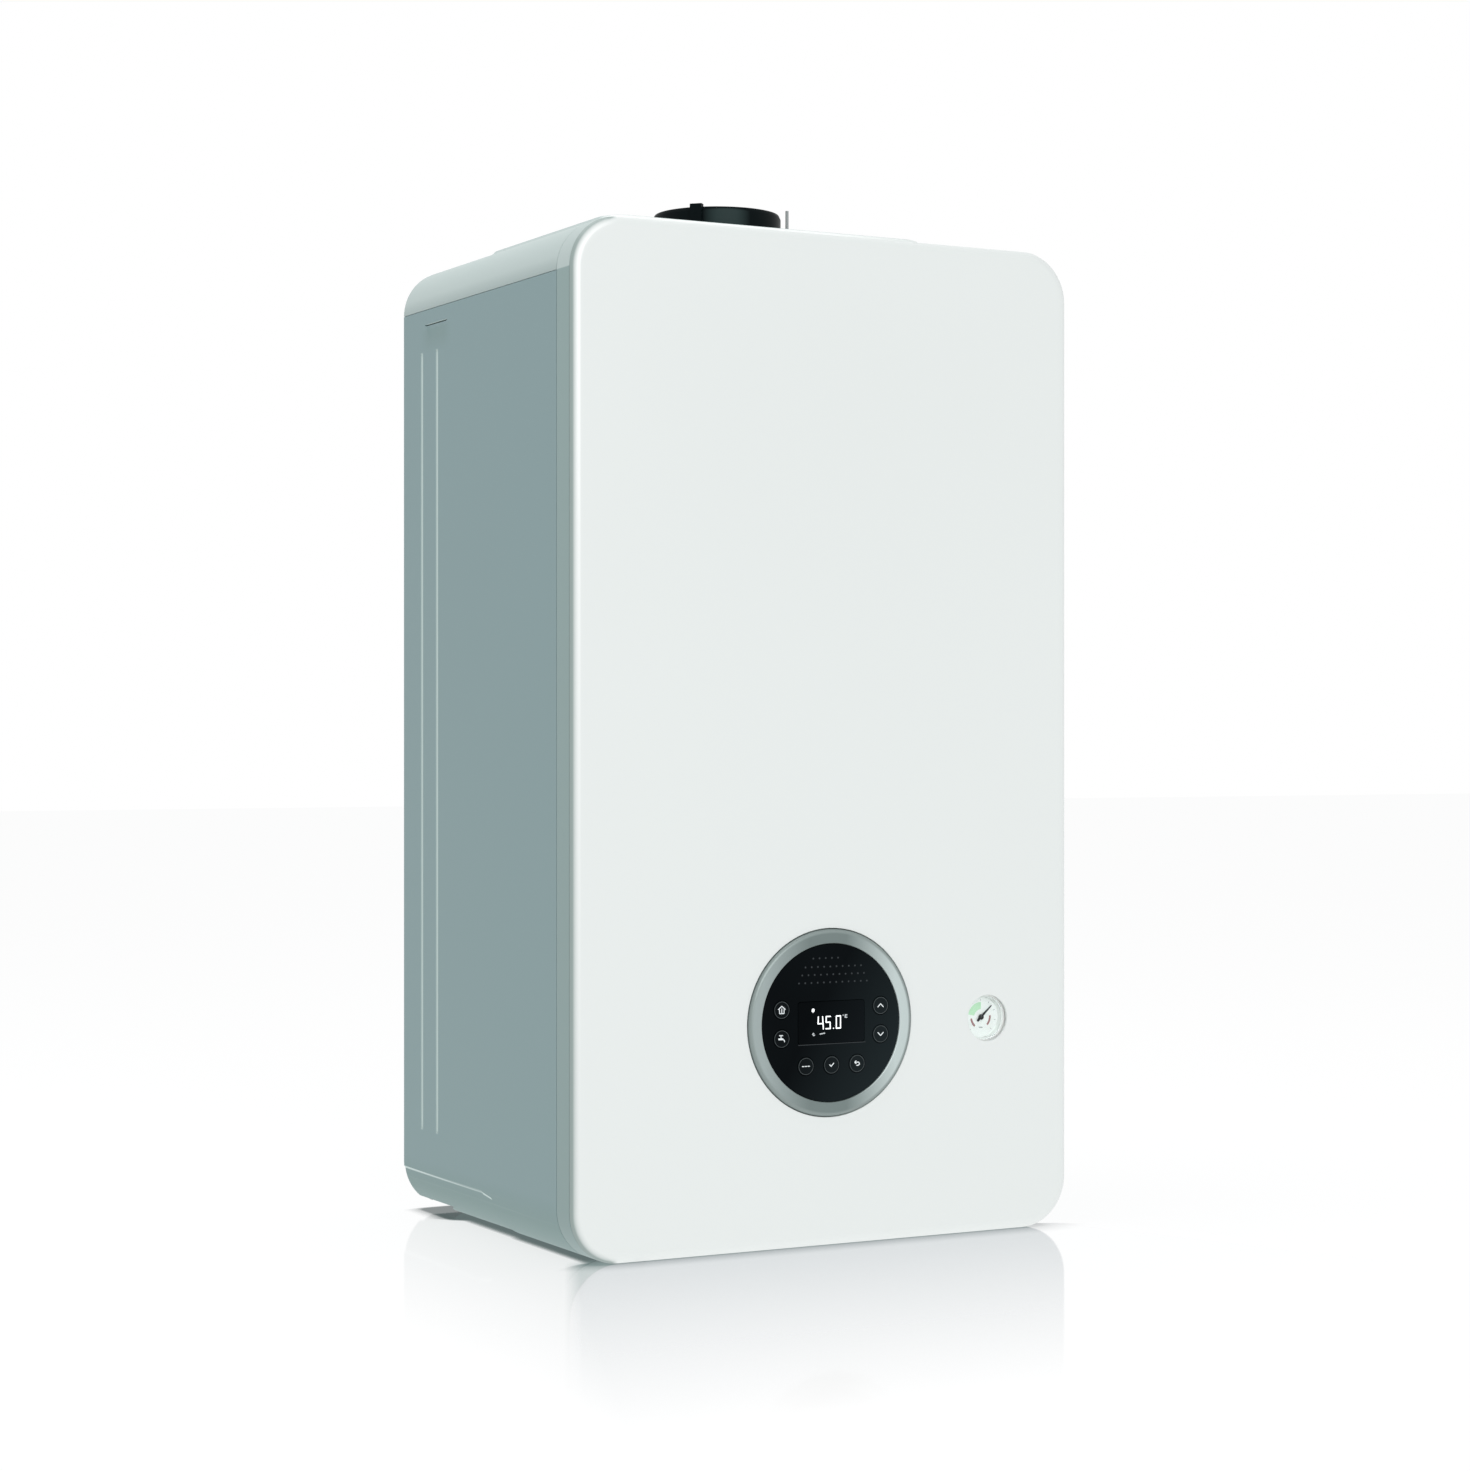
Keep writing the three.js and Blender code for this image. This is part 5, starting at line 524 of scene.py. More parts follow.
def lathe(mesh, profile, steps=96, centre=(0, 0), upright=False):
    """A profile of radius and place along the axis, turned about Y or about Z."""
    least = 0.001
    maker = level_ring if upright else ring
    rings = [maker(mesh, circle(*centre, max(radius, least), steps), along)
             for radius, along in profile]
    walls(mesh, rings)
    for loop, (radius, _) in ((rings[0], profile[0]), (rings[-1], profile[-1])):
        if radius == 0:
            mesh.faces.new(loop)


BLOCK_FACES = ((0, 1, 3, 2), (4, 6, 7, 5), (0, 4, 5, 1), (2, 3, 7, 6), (0, 2, 6, 4), (1, 5, 7, 3))


def block(mesh, left, right, front, back, bottom, top):
    corners = [mesh.verts.new((x * MM, y * MM, z * MM))
               for x in (left, right) for y in (front, back) for z in (bottom, top)]
    for face in BLOCK_FACES:
        mesh.faces.new([corners[i] for i in face])


def extruded(mesh, loop, front, back):
    cap_ends(mesh, sweep(mesh, lambda _: loop, [(0, front), (0, back)]))


def spanned(mesh, left, left_points, right, right_points):
    """The solid between an outline of Y and Z on the left and one on the right."""
    ends = [[mesh.verts.new((x * MM, y * MM, z * MM)) for y, z in points]
            for x, points in ((left, left_points), (right, right_points))]
    wall(mesh, *ends)
    cap_ends(mesh, ends)


def shape(maker, *values, **named):
    """A fresh mesh filled by one of the makers above."""
    mesh = bmesh.new()
    maker(mesh, *values, **named)
    return mesh


def slab(inset, front, back):
    """The casing's outline as a solid from front to back."""
    mesh = bmesh.new()
    cap_ends(mesh, sweep(mesh, casing, [(inset, front), (inset, back)]))
    return mesh


def layer(bottom, top, right=FAR_X):
    return shape(block, -FAR_X, right, -FAR_Y, FAR_Y, bottom, top)


def combined(base, tools, operation):
    """Joins or cuts meshes, which it uses up, and returns a new one."""
    scratch = []

    def holder(mesh):
        bmesh.ops.recalc_face_normals(mesh, faces=mesh.faces)
        data = bpy.data.meshes.new("scratch")
        mesh.to_mesh(data)
        mesh.free()
        item = bpy.data.objects.new("scratch", data)
        bpy.context.scene.collection.objects.link(item)
        scratch.append(item)
        return item

    target = holder(base)
    for tool in tools:
        cutter = target.modifiers.new("cut", "BOOLEAN")
        cutter.operation = operation
        cutter.solver = "EXACT"
        cutter.object = holder(tool)
    made = bmesh.new()
    made.from_object(target, bpy.context.evaluated_depsgraph_get())
    for item in scratch:
        data = item.data
        bpy.data.objects.remove(item)
        bpy.data.meshes.remove(data)
    return made


def finished(name, mesh, material, nodes=(), body=None, slot=None, sharp=32, weighted=True):
    """The mesh as a piece that rides on its body and stands for its CAD nodes."""
    bmesh.ops.remove_doubles(mesh, verts=mesh.verts, dist=1e-7)
    bmesh.ops.recalc_face_normals(mesh, faces=mesh.faces)
    data = bpy.data.meshes.new(name)
    mesh.to_mesh(data)
    mesh.free()
    data.polygons.foreach_set("use_smooth", [True] * len(data.polygons))
    data.set_sharp_from_angle(angle=math.radians(sharp))
    data.materials.append(material)
    piece = bpy.data.objects.new(name, data)
    bpy.context.scene.collection.objects.link(piece)
    if weighted:
        piece.modifiers.new("weighted", "WEIGHTED_NORMAL").keep_sharp = True
    nodes = [nodes] if isinstance(nodes, str) else list(nodes)
    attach(piece, body or node_bodies[nodes[0]])
    if nodes:
        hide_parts(*nodes)
    slot or node_slots[nodes[0]]


# The white front with its soft edge, and the grey flange behind it.
def front_panel():
    sheet, bend, edge, gauge_hole = PANEL_SHEET, 2.2, 0.6, 16.5
    round_width, round_depth = 7.5, 4.5
    path = [(sheet + bend, PANEL_BACK_FACE), (sheet + 0.7, PANEL_BACK_FACE + 0.7),
            (sheet, PANEL_BACK_FACE + bend), (sheet, PANEL_RIM_BACK), (0.4, PANEL_RIM_BACK),
            (0.1, PANEL_RIM_BACK - 0.1)] + edge_path(round_width, round_depth, FRONT)
    hole_path = [(edge, FRONT), (edge / 3, FRONT + edge / 3), (0, FRONT + edge),
                 (0, PANEL_BACK_FACE)]
    holes = [(lambda grow: circle(0, RING_Z, RING_RADIUS + SEAM + grow), hole_path),
             (lambda grow: circle(GAUGE_X, GAUGE_Z, gauge_hole + grow, steps=64), hole_path)]
    finished("front_shell", shape(pan, casing, path, holes), WHITE, "front_panel")


def front_frame():
    mesh = bmesh.new()
    sheet, lip = 2.4, 14
    stud_x, stud_z, stud_radius, stud_length = 150, 701.7, 3, 24
    lip_back = FRAME_FRONT + sheet
    path = [(lip, FRAME_FRONT), (0.5, FRAME_FRONT), (0.1, FRAME_FRONT + 0.2),
            (0, FRAME_FRONT + 0.6), (0, FRAME_BACK - 0.15), (0.15, FRAME_BACK),
            (sheet, FRAME_BACK), (sheet, lip_back), (lip, lip_back)]
    rings = sweep(mesh, casing, path)
    wall(mesh, rings[-1], rings[0])
    stud_end = lip_back + stud_length
    stud = [(0, lip_back - 1), (stud_radius, lip_back - 1), (stud_radius, stud_end - 2),
            (stud_radius - 1, stud_end), (0, stud_end)]
    for x in (-stud_x, stud_x):
        lathe(mesh, stud, steps=32, centre=(x, stud_z))
    finished("front_flange", mesh, FLANGE, "front_frame")


# The grey sides: a bent sheet with its ledge, two beads and the finger slit.
def ledge_skin():
    """What the ledge takes off the outside below it, with a slanted end at the front."""
    outer_x, inner_x, deep_x = -HALF - 5, -HALF + 3.8, -HALF / 2
    # Outlines of Y and Z. The visible edge is where the slope between them meets the sheet.
    upper = [(155, 41.7), (4, 41.7), (-14.5, 34.5), (-24, -UNDER), (155, -UNDER)]
    lower = [(155, 26.5), (7, 26.5), (-11.5, 25.7), (-14, -UNDER), (155, -UNDER)]
    slope = shape(spanned, outer_x, upper, inner_x, lower)
    rest = shape(spanned, inner_x - 0.01, lower, deep_x, lower)
    whole = combined(slope, [rest], "UNION")
    return combined(whole, [slab(LEDGE_STEP, -FAR_Y, FAR_Y)], "DIFFERENCE")


def bead(y):
    """A round groove, as deep and wide as its circle dips into the sheet."""
    radius = (BEAD_WIDTH ** 2 / 4 + BEAD_DEPTH ** 2) / (2 * BEAD_DEPTH)
    profile = [(0, BEAD_BOTTOM), (radius, BEAD_BOTTOM), (radius, BEAD_TOP), (0, BEAD_TOP)]
    centre = (-HALF - radius + BEAD_DEPTH, y)
    return shape(lathe, profile, steps=48, centre=centre, upright=True)


def scoop():
    """The shallow hollow below the finger slit."""
    rim = [(SLIT_FRONT - 1, SCOOP_TOP), (SLIT_BACK + 1, SCOOP_TOP),
           (SLIT_FRONT + 10, SCOOP_BOTTOM), (SLIT_BACK - 10, SCOOP_BOTTOM)]
    floor = [(SLIT_FRONT + 5, SCOOP_TOP - 1.9), (SLIT_BACK - 5, SCOOP_TOP - 1.9),
             (80, SCOOP_BOTTOM + 15), (95, SCOOP_BOTTOM + 15)]
    mesh = bmesh.new()
    corners = [(-HALF - 1, y, z) for y, z in rim] + [(-HALF + 0.7, y, z) for y, z in floor]
    points = [mesh.verts.new([value * MM for value in corner]) for corner in corners]
    bmesh.ops.convex_hull(mesh, input=points)
    return mesh


def side_panel(name, mirror):
    """One side. Its rear bottom edge is raised, with a lip that closes the sheet above it."""
    side_end, lift_back, lip_back = -150, BACK + 10, 148.2
    lip_top = REAR_LIFT + SIDE_SHEET
    lift = [(LIFT_TOP_Y, REAR_LIFT), (lift_back, REAR_LIFT), (lift_back, -UNDER),
            (LIFT_FOOT_Y + 15, -UNDER), (LIFT_FOOT_Y, 0)]
    lip = [(LIFT_TOP_Y - SIDE_SHEET, lip_top), (lip_back, lip_top), (lip_back, -1),
           (LIFT_FOOT_Y - 5, -1)]
    raised, lined = [shape(spanned, -FAR_X, points, FAR_X, points) for points in (lift, lip)]
    hollow = combined(slab(SIDE_SHEET, SIDE_FRONT - UNDER, BACK + UNDER), [lined], "DIFFERENCE")
    full = combined(slab(0, SIDE_FRONT, BACK), [ledge_skin(), hollow, raised], "DIFFERENCE")
    slit = shape(block, -HALF - 5, -HALF + 4.3, SLIT_FRONT + 1.5, SLIT_BACK - 1.5,
                 SLIT_BOTTOM, SLIT_TOP)
    cut = combined(full, [bead(y) for y in BEADS] + [scoop(), slit], "DIFFERENCE")
    made = combined(cut, [layer(-UNDER, SHOULDER, side_end)], "INTERSECT")
    if mirror:
        bmesh.ops.scale(made, vec=(-1, 1, 1), verts=made.verts)
    node = "side_panel_right" if mirror else "side_panel_left"
    finished(name, made, GREY, node, sharp=25)


# The top cover with its raised plateau.
def plateau(inset, top):
    left, right, front, back, radius, foot = -157, 99, -115.5, 90, 18, 7
    steps = ((foot, HEIGHT - 9), (foot, top - 7), (6.3, top - 6.2), (0.8, top - 0.5), (-0.6, top))
    mesh = bmesh.new()
    rings = []
    for grow, z in steps:
        loop = rounded(left - grow + inset, right + grow - inset, front - grow + inset,
                       back + grow - inset, radius + grow, steps=10)
        rings.append(level_ring(mesh, loop, z))
    walls(mesh, rings)
    cap_ends(mesh, rings)
    return mesh


def top_cover():
    hole_radius, lap = 48, 10
    profile = [(0, SHOULDER), (hole_radius, SHOULDER), (hole_radius, ADAPTER_TOP), (0, ADAPTER_TOP)]
    outer = combined(slab(0, SIDE_FRONT, BACK), [plateau(0, PLATEAU_TOP)], "UNION")
    hollows = [slab(SIDE_SHEET, SIDE_FRONT - UNDER, BACK - SHEET),
               plateau(SIDE_SHEET, PLATEAU_TOP - SIDE_SHEET),
               shape(lathe, profile, centre=FLUE, upright=True)]
    roof = combined(outer, hollows, "DIFFERENCE")
    hood = combined(roof, [layer(SHOULDER + SEAM, ADAPTER_TOP)], "INTERSECT")
    lap_inset = SIDE_SHEET + GAP
    sleeve = combined(slab(lap_inset, SIDE_FRONT, BACK),
                      [slab(lap_inset + SHEET, -FAR_Y, BACK - SHEET)], "DIFFERENCE")
    strip = combined(sleeve, [layer(SHOULDER - lap, SHOULDER + lap)], "INTERSECT")
    finished("top_hood", combined(hood, [strip], "UNION"), COVER, "top_cover", sharp=25)


# The control disc: its satin ring, black face, display and keys.
def satin_ring():
    inner, outer, back = RING_RADIUS - RING_WIDTH, RING_RADIUS, BOX_FRONT - GAP
    profile = [(inner, back), (inner, RING_FRONT + 0.8), (inner + 0.3, RING_FRONT + 0.25),
               (inner + 0.9, RING_FRONT), (outer - 3.2, RING_FRONT),
               (outer - 1.8, RING_FRONT + 0.35), (outer - 0.7, RING_FRONT + 1.1),
               (outer, RING_FRONT + 2.4), (outer, back), (inner, back)]
    mesh = shape(lathe, profile, steps=160, centre=(0, RING_Z))
    finished("control_ring", mesh, SATIN, "control_bezel", sharp=50)


def disc_face():
    post_radius, key_hole = 4, KEY_RADIUS + 0.35
    path = [(0, FASCIA_BACK), (0, FASCIA_FRONT + 0.4), (0.15, FASCIA_FRONT + 0.1),
            (0.5, FASCIA_FRONT)]
    hole_path = [(0.15, FASCIA_FRONT), (0, FASCIA_FRONT + 0.15), (0, FASCIA_BACK)]
    holes = [(lambda grow: window(-grow), hole_path)]
    for x, z in KEYS.values():
        holes.append((lambda grow, x=x, z=z: circle(x, RING_Z + z, key_hole + grow, steps=48),
                      hole_path))
    mesh = shape(pan, lambda inset: circle(0, RING_Z, FASCIA_RADIUS - inset, 160), path, holes)
    reach = FASCIA_RADIUS * math.sqrt(0.5) - post_radius
    post = [(0, FASCIA_BACK - 1), (post_radius, FASCIA_BACK - 1), (post_radius, BOX_FRONT - GAP),
            (0, BOX_FRONT - GAP)]
    for x in (-reach, reach):
        for z in (-reach, reach):
            lathe(mesh, post, steps=24, centre=(x, RING_Z + z))
    finished("control_face", mesh, GLOSS, "control_fascia")


def display():
    """The window in its hole, with a block behind it and a rim that holds it from behind."""
    mesh = bmesh.new()
    rim = 2
    path = [(GAP, FASCIA_BACK), (GAP, FASCIA_FRONT + 0.15), (GAP + 0.15, FASCIA_FRONT)]
    cap_ends(mesh, sweep(mesh, window, path))
    block(mesh, rim - WINDOW_HALF, WINDOW_HALF - rim, FASCIA_BACK - 0.5, FASCIA_BACK + 5,
          WINDOW_BOTTOM + rim, WINDOW_TOP - rim)
    extruded(mesh, window(-rim), FASCIA_BACK + GAP, BOX_FRONT - GAP)
    finished("display_glass", mesh, SMOKED, "display_window")


# Printed and lit marks: thin raised lines on the face at y.
INK_DEPTH = 0.06
INK_ROOT = 0.02
INK_STEP = 0.004


def stroke_mesh(mesh, points, width, y):
    """A drawn line as capsules from point to point, each a little prouder than the last."""
    half, round_steps = width / 2, 6
    for step, ((ax, az), (bx, bz)) in enumerate(zip(points, points[1:])):
        angle = math.atan2(bz - az, bx - ax)
        loop = []
        for x, z, start in ((bx, bz, angle - math.pi / 2), (ax, az, angle + math.pi / 2)):
            for i in range(round_steps + 1):
                turn = start + math.pi * i / round_steps
                loop.append((x + half * math.cos(turn), z + half * math.sin(turn)))
        extruded(mesh, loop, y - INK_DEPTH - INK_STEP * step, y + INK_ROOT)


def drawing(name, lines, width, y, material, body, slot, centre=(0, 0)):
    mesh = bmesh.new()
    for points in lines:
        stroke_mesh(mesh, [(centre[0] + x, centre[1] + z) for x, z in points], width, y)
    finished(name, mesh, material, body=body, slot=slot, weighted=False)


KEY_MARKS = {
    "key_heating": [[(-2.7, 0.5), (0, 2.7), (2.7, 0.5)], [(-1.8, 0.3), (-1.8, -2.4)],
                    [(0, 0.9), (0, -2.4)], [(1.8, 0.3), (1.8, -2.4)], [(-1.8, -2.4), (1.8, -2.4)]],
    "key_hot_water": [[(-1.9, 2.4), (0.7, 2.4)], [(-0.6, 2.4), (-0.6, 0.6)],
                      [(-2.6, 0.2), (0.8, 0.2)],
                      [(-2.4, -0.4), (1.0, -0.4), (2.0, -1.0), (2.2, -2.0)]],
    "key_menu": [[(-2.9, 0), (-1.6, 0)], [(-0.6, 0), (0.6, 0)], [(1.6, 0), (2.9, 0)]],
    "key_ok": [[(-1.5, 0.1), (-0.4, -1.0), (1.7, 1.2)]],
    "key_back": [[(-1.7, 0.9), (1.1, 0.9), (1.9, 0.2), (1.9, -0.6), (1.1, -1.3), (-0.3, -1.3)],
                 [(-0.8, 1.9), (-1.9, 0.9), (-0.8, -0.1)]],
    "key_up": [[(-2.2, -1.0), (0, 1.2), (2.2, -1.0)]],
    "key_down": [[(-2.2, 1.0), (0, -1.2), (2.2, 1.0)]],
}
KEY_MARK_WIDTH, KEY_RIM_WIDTH = 0.62, 0.32


def control_keys():
    radius, collar, collar_sheet = KEY_RADIUS, KEY_RADIUS + 1.2, 1.2
    front, back = FASCIA_FRONT - 0.25, FASCIA_BACK + GAP
    profile = [(0, front + 0.12), (3.5, front + 0.06), (radius - 0.5, front),
               (radius - 0.1, front + 0.12), (radius, front + 0.4), (radius, back), (collar, back),
               (collar, back + collar_sheet), (0, back + collar_sheet)]
    for name, (x, z) in KEYS.items():
        centre = (x, RING_Z + z)
        key = shape(lathe, profile, steps=64, centre=centre)
        finished("cap_" + name, key, KEY_FACE, name, sharp=40)
        drawing("mark_" + name, KEY_MARKS[name], KEY_MARK_WIDTH, front + 0.08, LIT_KEYS, name,
                "key_black", centre)
        drawing("rim_" + name, [arc(radius - 0.7, steps=48)], KEY_RIM_WIDTH, front + 0.06, KEY_RIM,
                name, "key_black", centre)


DIGITS = [
    [(-10.6, 161.0), (-10.9, 156.2), (-6.9, 156.2)], [(-7.2, 161.0), (-6.6, 152.4)],
    [(-0.9, 161.0), (-4.3, 161.0), (-4.4, 157.0), (-1.2, 157.0), (-1.0, 152.5), (-4.5, 152.5)],
    [(1.6, 152.5), (1.6, 152.6)],
    [(3.9, 161.0), (3.9, 152.5), (7.3, 152.5), (7.3, 161.0), (3.9, 161.0)],
]
FLAME = [[(-14.9, 165.4), (-14.8, 166.0)]]
SMALL_MARKS = [
    [(9.4, 161.4), (9.5, 161.4)], [(12.4, 161.5), (11.2, 161.5), (11.0, 159.9), (12.4, 159.8)],
    [(-15.2, 149.0), (-14.4, 149.6)], [(-14.6, 148.2), (-13.8, 148.4)],
    [(-9.2, 149.0), (-7.2, 149.2)], [(-6.4, 149.4), (-5.6, 149.4)],
]
WINDOW_EDGE = [[(-26.5, 141.8), (27.5, 141.8)]]
DOT_ROWS = ((202, -14.7, 5), (196, -21.0, 10), (190.5, -23.6, 11), (185, -26.2, 12))
DOT_PITCH, DOT_LENGTH = 5.0, 0.05


def disc_marks():
    dots = []
    for z, first, count in DOT_ROWS:
        starts = [first + DOT_PITCH * i for i in range(count)]
        dots += [[(x, z), (x + DOT_LENGTH, z)] for x in starts]
    marks = (("display_digits", DIGITS, 0.85, LIT_WHITE, "display_black"),
             ("display_flame", FLAME, 2.2, LIT_WHITE, "display_black"),
             ("display_small", SMALL_MARKS, 0.9, LIT_SOFT, "display_black"),
             ("sound_dots", dots, 1.3, FAINT, "gloss_black"),
             ("window_edge", WINDOW_EDGE, 0.5, FAINT, "gloss_black"))
    for name, lines, width, material, slot in marks:
        drawing(name, lines, width, FASCIA_FRONT, material, "control_unit", slot)


# The pressure gauge: its cup and printed dial.
DIAL_TICKS = 9
DIAL_START, DIAL_TURN = 225, 270
TICK_INNER, TICK_OUTER = 11.8, 13.0
DIAL_ARCS = (
    # Name, ink, start and end in degrees, middle radius and width.
    ("green", GREEN_INK, 88, 168, 8.2, 5.2),
    ("red_right", RED_INK, -46, 6, 8.0, 1.5),
    ("red_left", RED_INK, 186, 232, 8.0, 1.5),
)
DIAL_MARK = [[(-1.2, -7.4), (1.4, -7.6)]]


def gauge():
    centre = (GAUGE_X, GAUGE_Z)
    bore, outer, seat, spigot, hub = GAUGE_BORE, GAUGE_RADIUS, GAUGE_FRONT + 1.5, 5, 1.1
    spigot_end, hub_front = GAUGE_BACK + 9, DIAL_Y + 1.4
    cup = [(bore, GAUGE_FRONT + 0.3), (bore + 0.3, GAUGE_FRONT), (outer - 0.3, GAUGE_FRONT),
           (outer, GAUGE_FRONT + 0.3), (outer, GAUGE_BACK), (spigot, GAUGE_BACK),
           (spigot, spigot_end), (0, spigot_end)]
    face = [(bore, GAUGE_FRONT + 0.3), (bore, seat), (bore - 1, seat), (bore - 1.3, DIAL_Y),
            (hub, DIAL_Y), (hub, hub_front), (0, hub_front)]
    mesh = shape(lathe, cup, centre=centre)
    lathe(mesh, face, centre=centre)
    finished("gauge_cup", mesh, DIAL, "gauge_body", sharp=40)
    for name, ink, start, end, radius, width in DIAL_ARCS:
        turns = arc(1, 24, start, end)
        band = [(radius + width / 2, turn) for turn in turns]
        band += [(radius - width / 2, turn) for turn in reversed(turns)]
        loop = [(GAUGE_X + r * x, GAUGE_Z + r * z) for r, (x, z) in band]
        finished("dial_" + name, shape(extruded, loop, DIAL_Y - INK_DEPTH, DIAL_Y + INK_ROOT), ink,
                 body="chassis", slot="gauge_white", weighted=False)
    ticks = []
    for i in range(DIAL_TICKS):
        angle = math.radians(DIAL_START - DIAL_TURN * i / (DIAL_TICKS - 1))
        ticks.append([(r * math.cos(angle), r * math.sin(angle)) for r in (TICK_INNER, TICK_OUTER)])
    for name, lines, width in (("dial_ticks", ticks, 0.3), ("dial_mark", DIAL_MARK, 0.8)):
        drawing(name, lines, width, DIAL_Y, GREY_INK, "chassis", "gauge_white", centre)


# The flue adapter on the top, with its socket, ribs and lug.
def flue_adapter():
    mesh = bmesh.new()
    bottom, top = FLANGE_BOTTOM, ADAPTER_TOP
    socket, bore, flange, edge = 48, 45, 64, 0.6
    face = bottom + 3
    tube, tube_bore, tube_edge, tube_top = 31, 28.5, 0.4, top - 7
    rib_inner, rib_outer, rib_half, rib_top = 30, 46.5, 1.5, top - 21
    lug_half, lug_outer, lug_turn = 4.5, 50, -46
    lathe(mesh, [(bore, bottom), (flange, bottom), (flange, face - edge), (flange - edge, face),
                 (socket + edge, face), (socket, face + edge), (socket, top - 3),
                 (socket - 1.2, top - 0.3), (socket - 1.5, top), (bore + 0.3, top),
                 (bore, top - 0.3), (bore, bottom)], steps=128, centre=FLUE, upright=True)
    lathe(mesh, [(tube_bore, bottom), (tube, bottom), (tube, tube_top - tube_edge),
                 (tube - tube_edge, tube_top), (tube_bore + tube_edge, tube_top),
                 (tube_bore, tube_top - tube_edge), (tube_bore, bottom)], centre=FLUE, upright=True)
    x, y = FLUE
    spans = ((rib_inner, rib_outer), (-rib_outer, -rib_inner))
    for start, end in spans:
        block(mesh, x + start, x + end, y - rib_half, y + rib_half, bottom, rib_top)
    for start, end in spans:
        block(mesh, x - rib_half, x + rib_half, y + start, y + end, bottom, rib_top)
    lug = shape(block, -lug_half, lug_half, -lug_outer, -bore, top - 22, top + 2)
    turn = Matrix.Rotation(math.radians(lug_turn), 3, "Z")
    bmesh.ops.rotate(lug, verts=lug.verts, cent=(0, 0, 0), matrix=turn)
    bmesh.ops.translate(lug, verts=lug.verts, vec=(x * MM, y * MM, 0))
    data = bpy.data.meshes.new("lug")
    lug.to_mesh(data)
    lug.free()
    mesh.from_mesh(data)
    bpy.data.meshes.remove(data)
    finished("flue_collar", mesh, BLACK, "flue_adapter", sharp=35)


front_panel()
front_frame()
side_panel("side_sheet_left", False)
side_panel("side_sheet_right", True)
top_cover()
satin_ring()
disc_face()
display()
control_keys()
disc_marks()
gauge()
flue_adapter()


# Floor, light and camera.
FLOOR_SIZE, FLOOR_DROP = 12, 0.2
FLOOR_GLOW = 1.03
FLOOR_MATT_SHARE = 0.12
FLOOR_ROUGHNESS = 0.06
SHADOW_COLOR = (0.09, 0.115, 0.115, 1)
SHADOW_FULL, SHADOW_NONE = 0.35, 0.9
SHADOW_SAMPLES = 12
SHADOW_REACH, SHADOW_REACH_FRONT, SHADOW_REACH_REAR = 6.5, 24, 12
SIDE_SHARE, FRONT_SHARE = 0.2, 0.42
REFLECTION_REACH = 470
REFLECTION_TINT = (0.985, 0.995, 1, 1)
SIDE_HASTE = 2.5
CORNER_SLOPE = 0.47


def floor_material():
    """White, with a painted shadow where something almost touches it and under the raised rear, and
    a reflection that fades with distance. Both show for camera rays only, so neither changes the
    light on the part."""
    material = bpy.data.materials.new("studio_floor")
    material.use_nodes = True
    nodes, links = material.node_tree.nodes, material.node_tree.links
    nodes.clear()

    def maths(operation, first, second=0.0):
        return math_node(material, operation, first, second)

    def ramp(value, low, high):
        return ramp_mm(material, value, low, high)

    seen = nodes.new("ShaderNodeLightPath").outputs["Is Camera Ray"]
    x, y, _ = place_sockets(material)
    aside = maths("ABSOLUTE", x)

    near = nodes.new("ShaderNodeAmbientOcclusion")
    near.samples = SHADOW_SAMPLES
    # The painted shadow reaches further in front of the part and under its raised rear.
    raised = product(material, ramp(y, 75, 95), ramp(y, 153, 147))
    reach = maths("MULTIPLY", ramp(y, -132, -150), SHADOW_REACH_FRONT * MM)
    reach = maths("ADD", reach, SHADOW_REACH * MM)
    reach = maths("ADD", maths("MULTIPLY", raised, SHADOW_REACH_REAR * MM), reach)
    links.new(reach, near.inputs["Distance"])
    # Painted shadow: the floor under the raised rear is darkened outright, whatever the occlusion.
    under_rear = product(material, ramp(y, 80, 90), ramp(y, 150, 140), ramp(aside, 192, 184))
    open_share = maths("MULTIPLY", near.outputs["AO"], maths("SUBTRACT", 1, under_rear))
    fade = nodes.new("ShaderNodeValToRGB")
    dark, light = fade.color_ramp.elements
    dark.position, dark.color = SHADOW_FULL, SHADOW_COLOR
    light.position, light.color = SHADOW_NONE, (1, 1, 1, 1)
    links.new(maths("MAXIMUM", open_share, maths("SUBTRACT", 1, seen)), fade.inputs["Fac"])
    glow = nodes.new("ShaderNodeEmission")
    glow.inputs["Strength"].default_value = FLOOR_GLOW
    matt = nodes.new("ShaderNodeBsdfDiffuse")
    for part in (glow, matt):
        links.new(fade.outputs["Color"], part.inputs["Color"])

    beside = maths("SUBTRACT", aside, HALF * MM)
    ahead = maths("SUBTRACT", maths("ABSOLUTE", y), -FRONT * MM)
    away = maths("MAXIMUM", maths("MULTIPLY", beside, SIDE_HASTE), ahead)
    corner = maths("SUBTRACT", beside, maths("MULTIPLY", ahead, CORNER_SLOPE))
    before = product(material, ramp(corner, 6, -6), ramp(y, -120, -140))
    share = maths("ADD", maths("MULTIPLY", before, FRONT_SHARE), SIDE_SHARE)
    gloss = nodes.new("ShaderNodeBsdfGlossy")
    gloss.inputs["Roughness"].default_value = FLOOR_ROUGHNESS
    gloss.inputs["Color"].default_value = REFLECTION_TINT

    def mixed(factor, under, over):
        mix = nodes.new("ShaderNodeMixShader")
        if isinstance(factor, float):
            mix.inputs["Fac"].default_value = factor
        else:
            links.new(factor, mix.inputs["Fac"])
        for socket, part in zip(mix.inputs[1:], (under, over)):
            links.new(part.outputs[0], socket)
        return mix

    ground = mixed(FLOOR_MATT_SHARE, glow, matt)
    mirror = product(material, ramp(away, REFLECTION_REACH, 0), share, seen)
    out = nodes.new("ShaderNodeOutputMaterial")
    links.new(mixed(mirror, ground, gloss).outputs[0], out.inputs["Surface"])
    return material


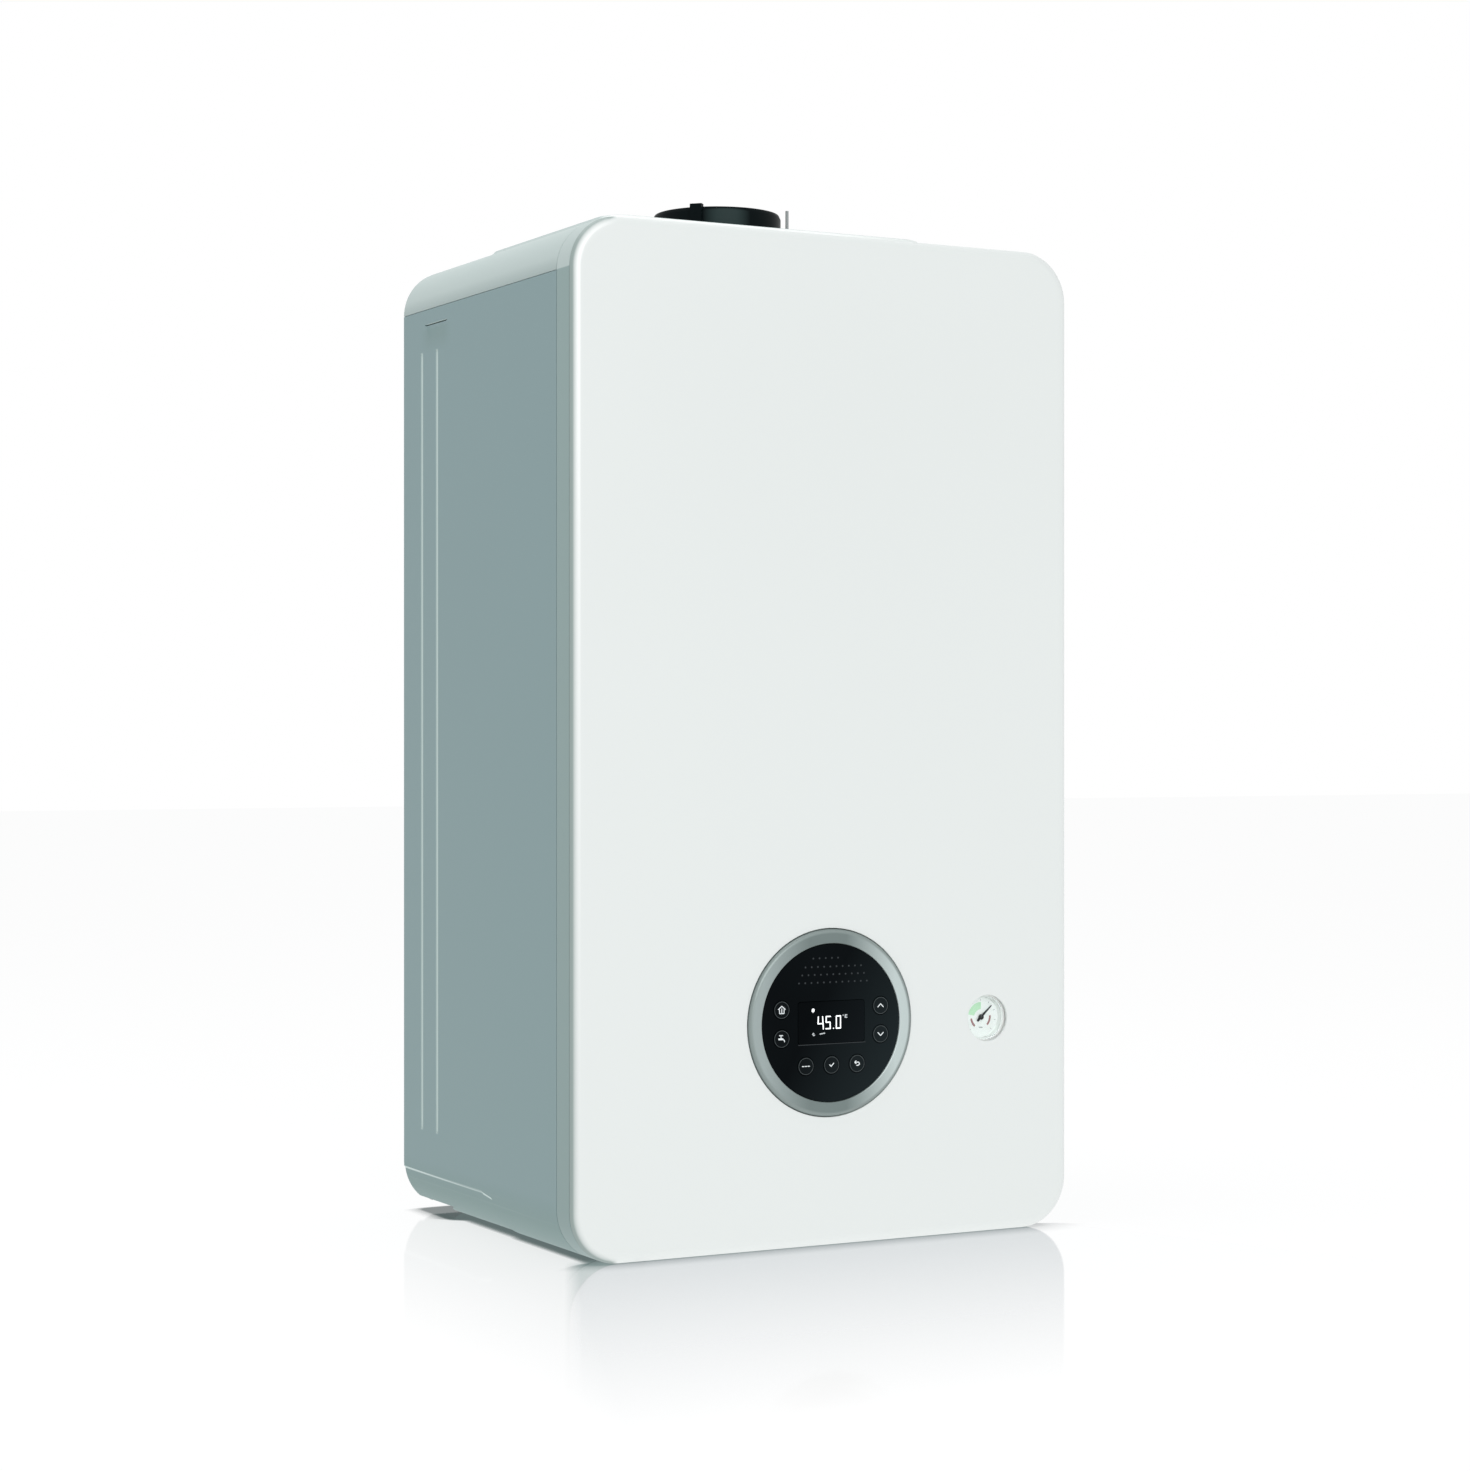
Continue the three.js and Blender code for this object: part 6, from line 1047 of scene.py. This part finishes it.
def floor():
    mesh = bmesh.new()
    corners = [(x * FLOOR_SIZE, y * FLOOR_SIZE, -FLOOR_DROP * MM)
               for x, y in ((-1, -1), (1, -1), (1, 1), (-1, 1))]
    mesh.faces.new([mesh.verts.new(corner) for corner in corners])
    data = bpy.data.meshes.new("floor")
    mesh.to_mesh(data)
    mesh.free()
    ground = bpy.data.objects.new("floor", data)
    data.materials.append(floor_material())
    bpy.context.scene.collection.objects.link(ground)


SEEN_WORLD = ((1, 1, 1, 1), 1.0)
LIGHT_WORLD = ((0.97, 0.99, 1, 1), 0.56)
LAMPS = (
    # Name, place, aim, size and power.
    ("key_light", (-0.4, -3.0, 1.4), (0, 0, 0.4), 1.4, 26),
    ("top_light", (-0.4, 0.2, 2.4), (0, 0, 0.7), 1.8, 18),
)
CAMERA_LENS, CAMERA_SENSOR = 75.98, 36
CAMERA_PLACE = (-1.0905, -2.0360, 0.3604)
CAMERA_TILT, CAMERA_TURN = 89.937, -28.25


def studio_world():
    """White where it is seen directly, in a mirror or through glass, and dimmer as a light."""
    world = bpy.data.worlds.new("studio")
    bpy.context.scene.world = world
    world.use_nodes = True
    nodes, links = world.node_tree.nodes, world.node_tree.links
    nodes.clear()
    path = nodes.new("ShaderNodeLightPath").outputs
    direct = math_node(world, "MAXIMUM", path["Is Camera Ray"], path["Is Glossy Ray"])
    mix = nodes.new("ShaderNodeMixShader")
    links.new(math_node(world, "MAXIMUM", direct, path["Is Transmission Ray"]), mix.inputs["Fac"])
    for socket, (color, strength) in zip(mix.inputs[1:], (LIGHT_WORLD, SEEN_WORLD)):
        background = nodes.new("ShaderNodeBackground")
        background.inputs["Color"].default_value = color
        background.inputs["Strength"].default_value = strength
        links.new(background.outputs[0], socket)
    out = nodes.new("ShaderNodeOutputWorld")
    links.new(mix.outputs[0], out.inputs["Surface"])


def lamps_and_camera():
    scene = bpy.context.scene
    for name, place, aim, size, power in LAMPS:
        lamp = bpy.data.lights.new(name, "AREA")
        lamp.size = size
        lamp.energy = power
        item = bpy.data.objects.new(name, lamp)
        item.location = place
        item.rotation_euler = (Vector(aim) - Vector(place)).to_track_quat("-Z", "Y").to_euler()
        scene.collection.objects.link(item)
    camera = bpy.data.objects.new("camera", bpy.data.cameras.new("camera"))
    camera.data.lens = CAMERA_LENS
    camera.data.sensor_width = CAMERA_SENSOR
    camera.location = CAMERA_PLACE
    camera.rotation_euler = (math.radians(CAMERA_TILT), 0, math.radians(CAMERA_TURN))
    scene.collection.objects.link(camera)
    scene.camera = camera
    scene.view_settings.view_transform = "Standard"


floor()
studio_world()
lamps_and_camera()
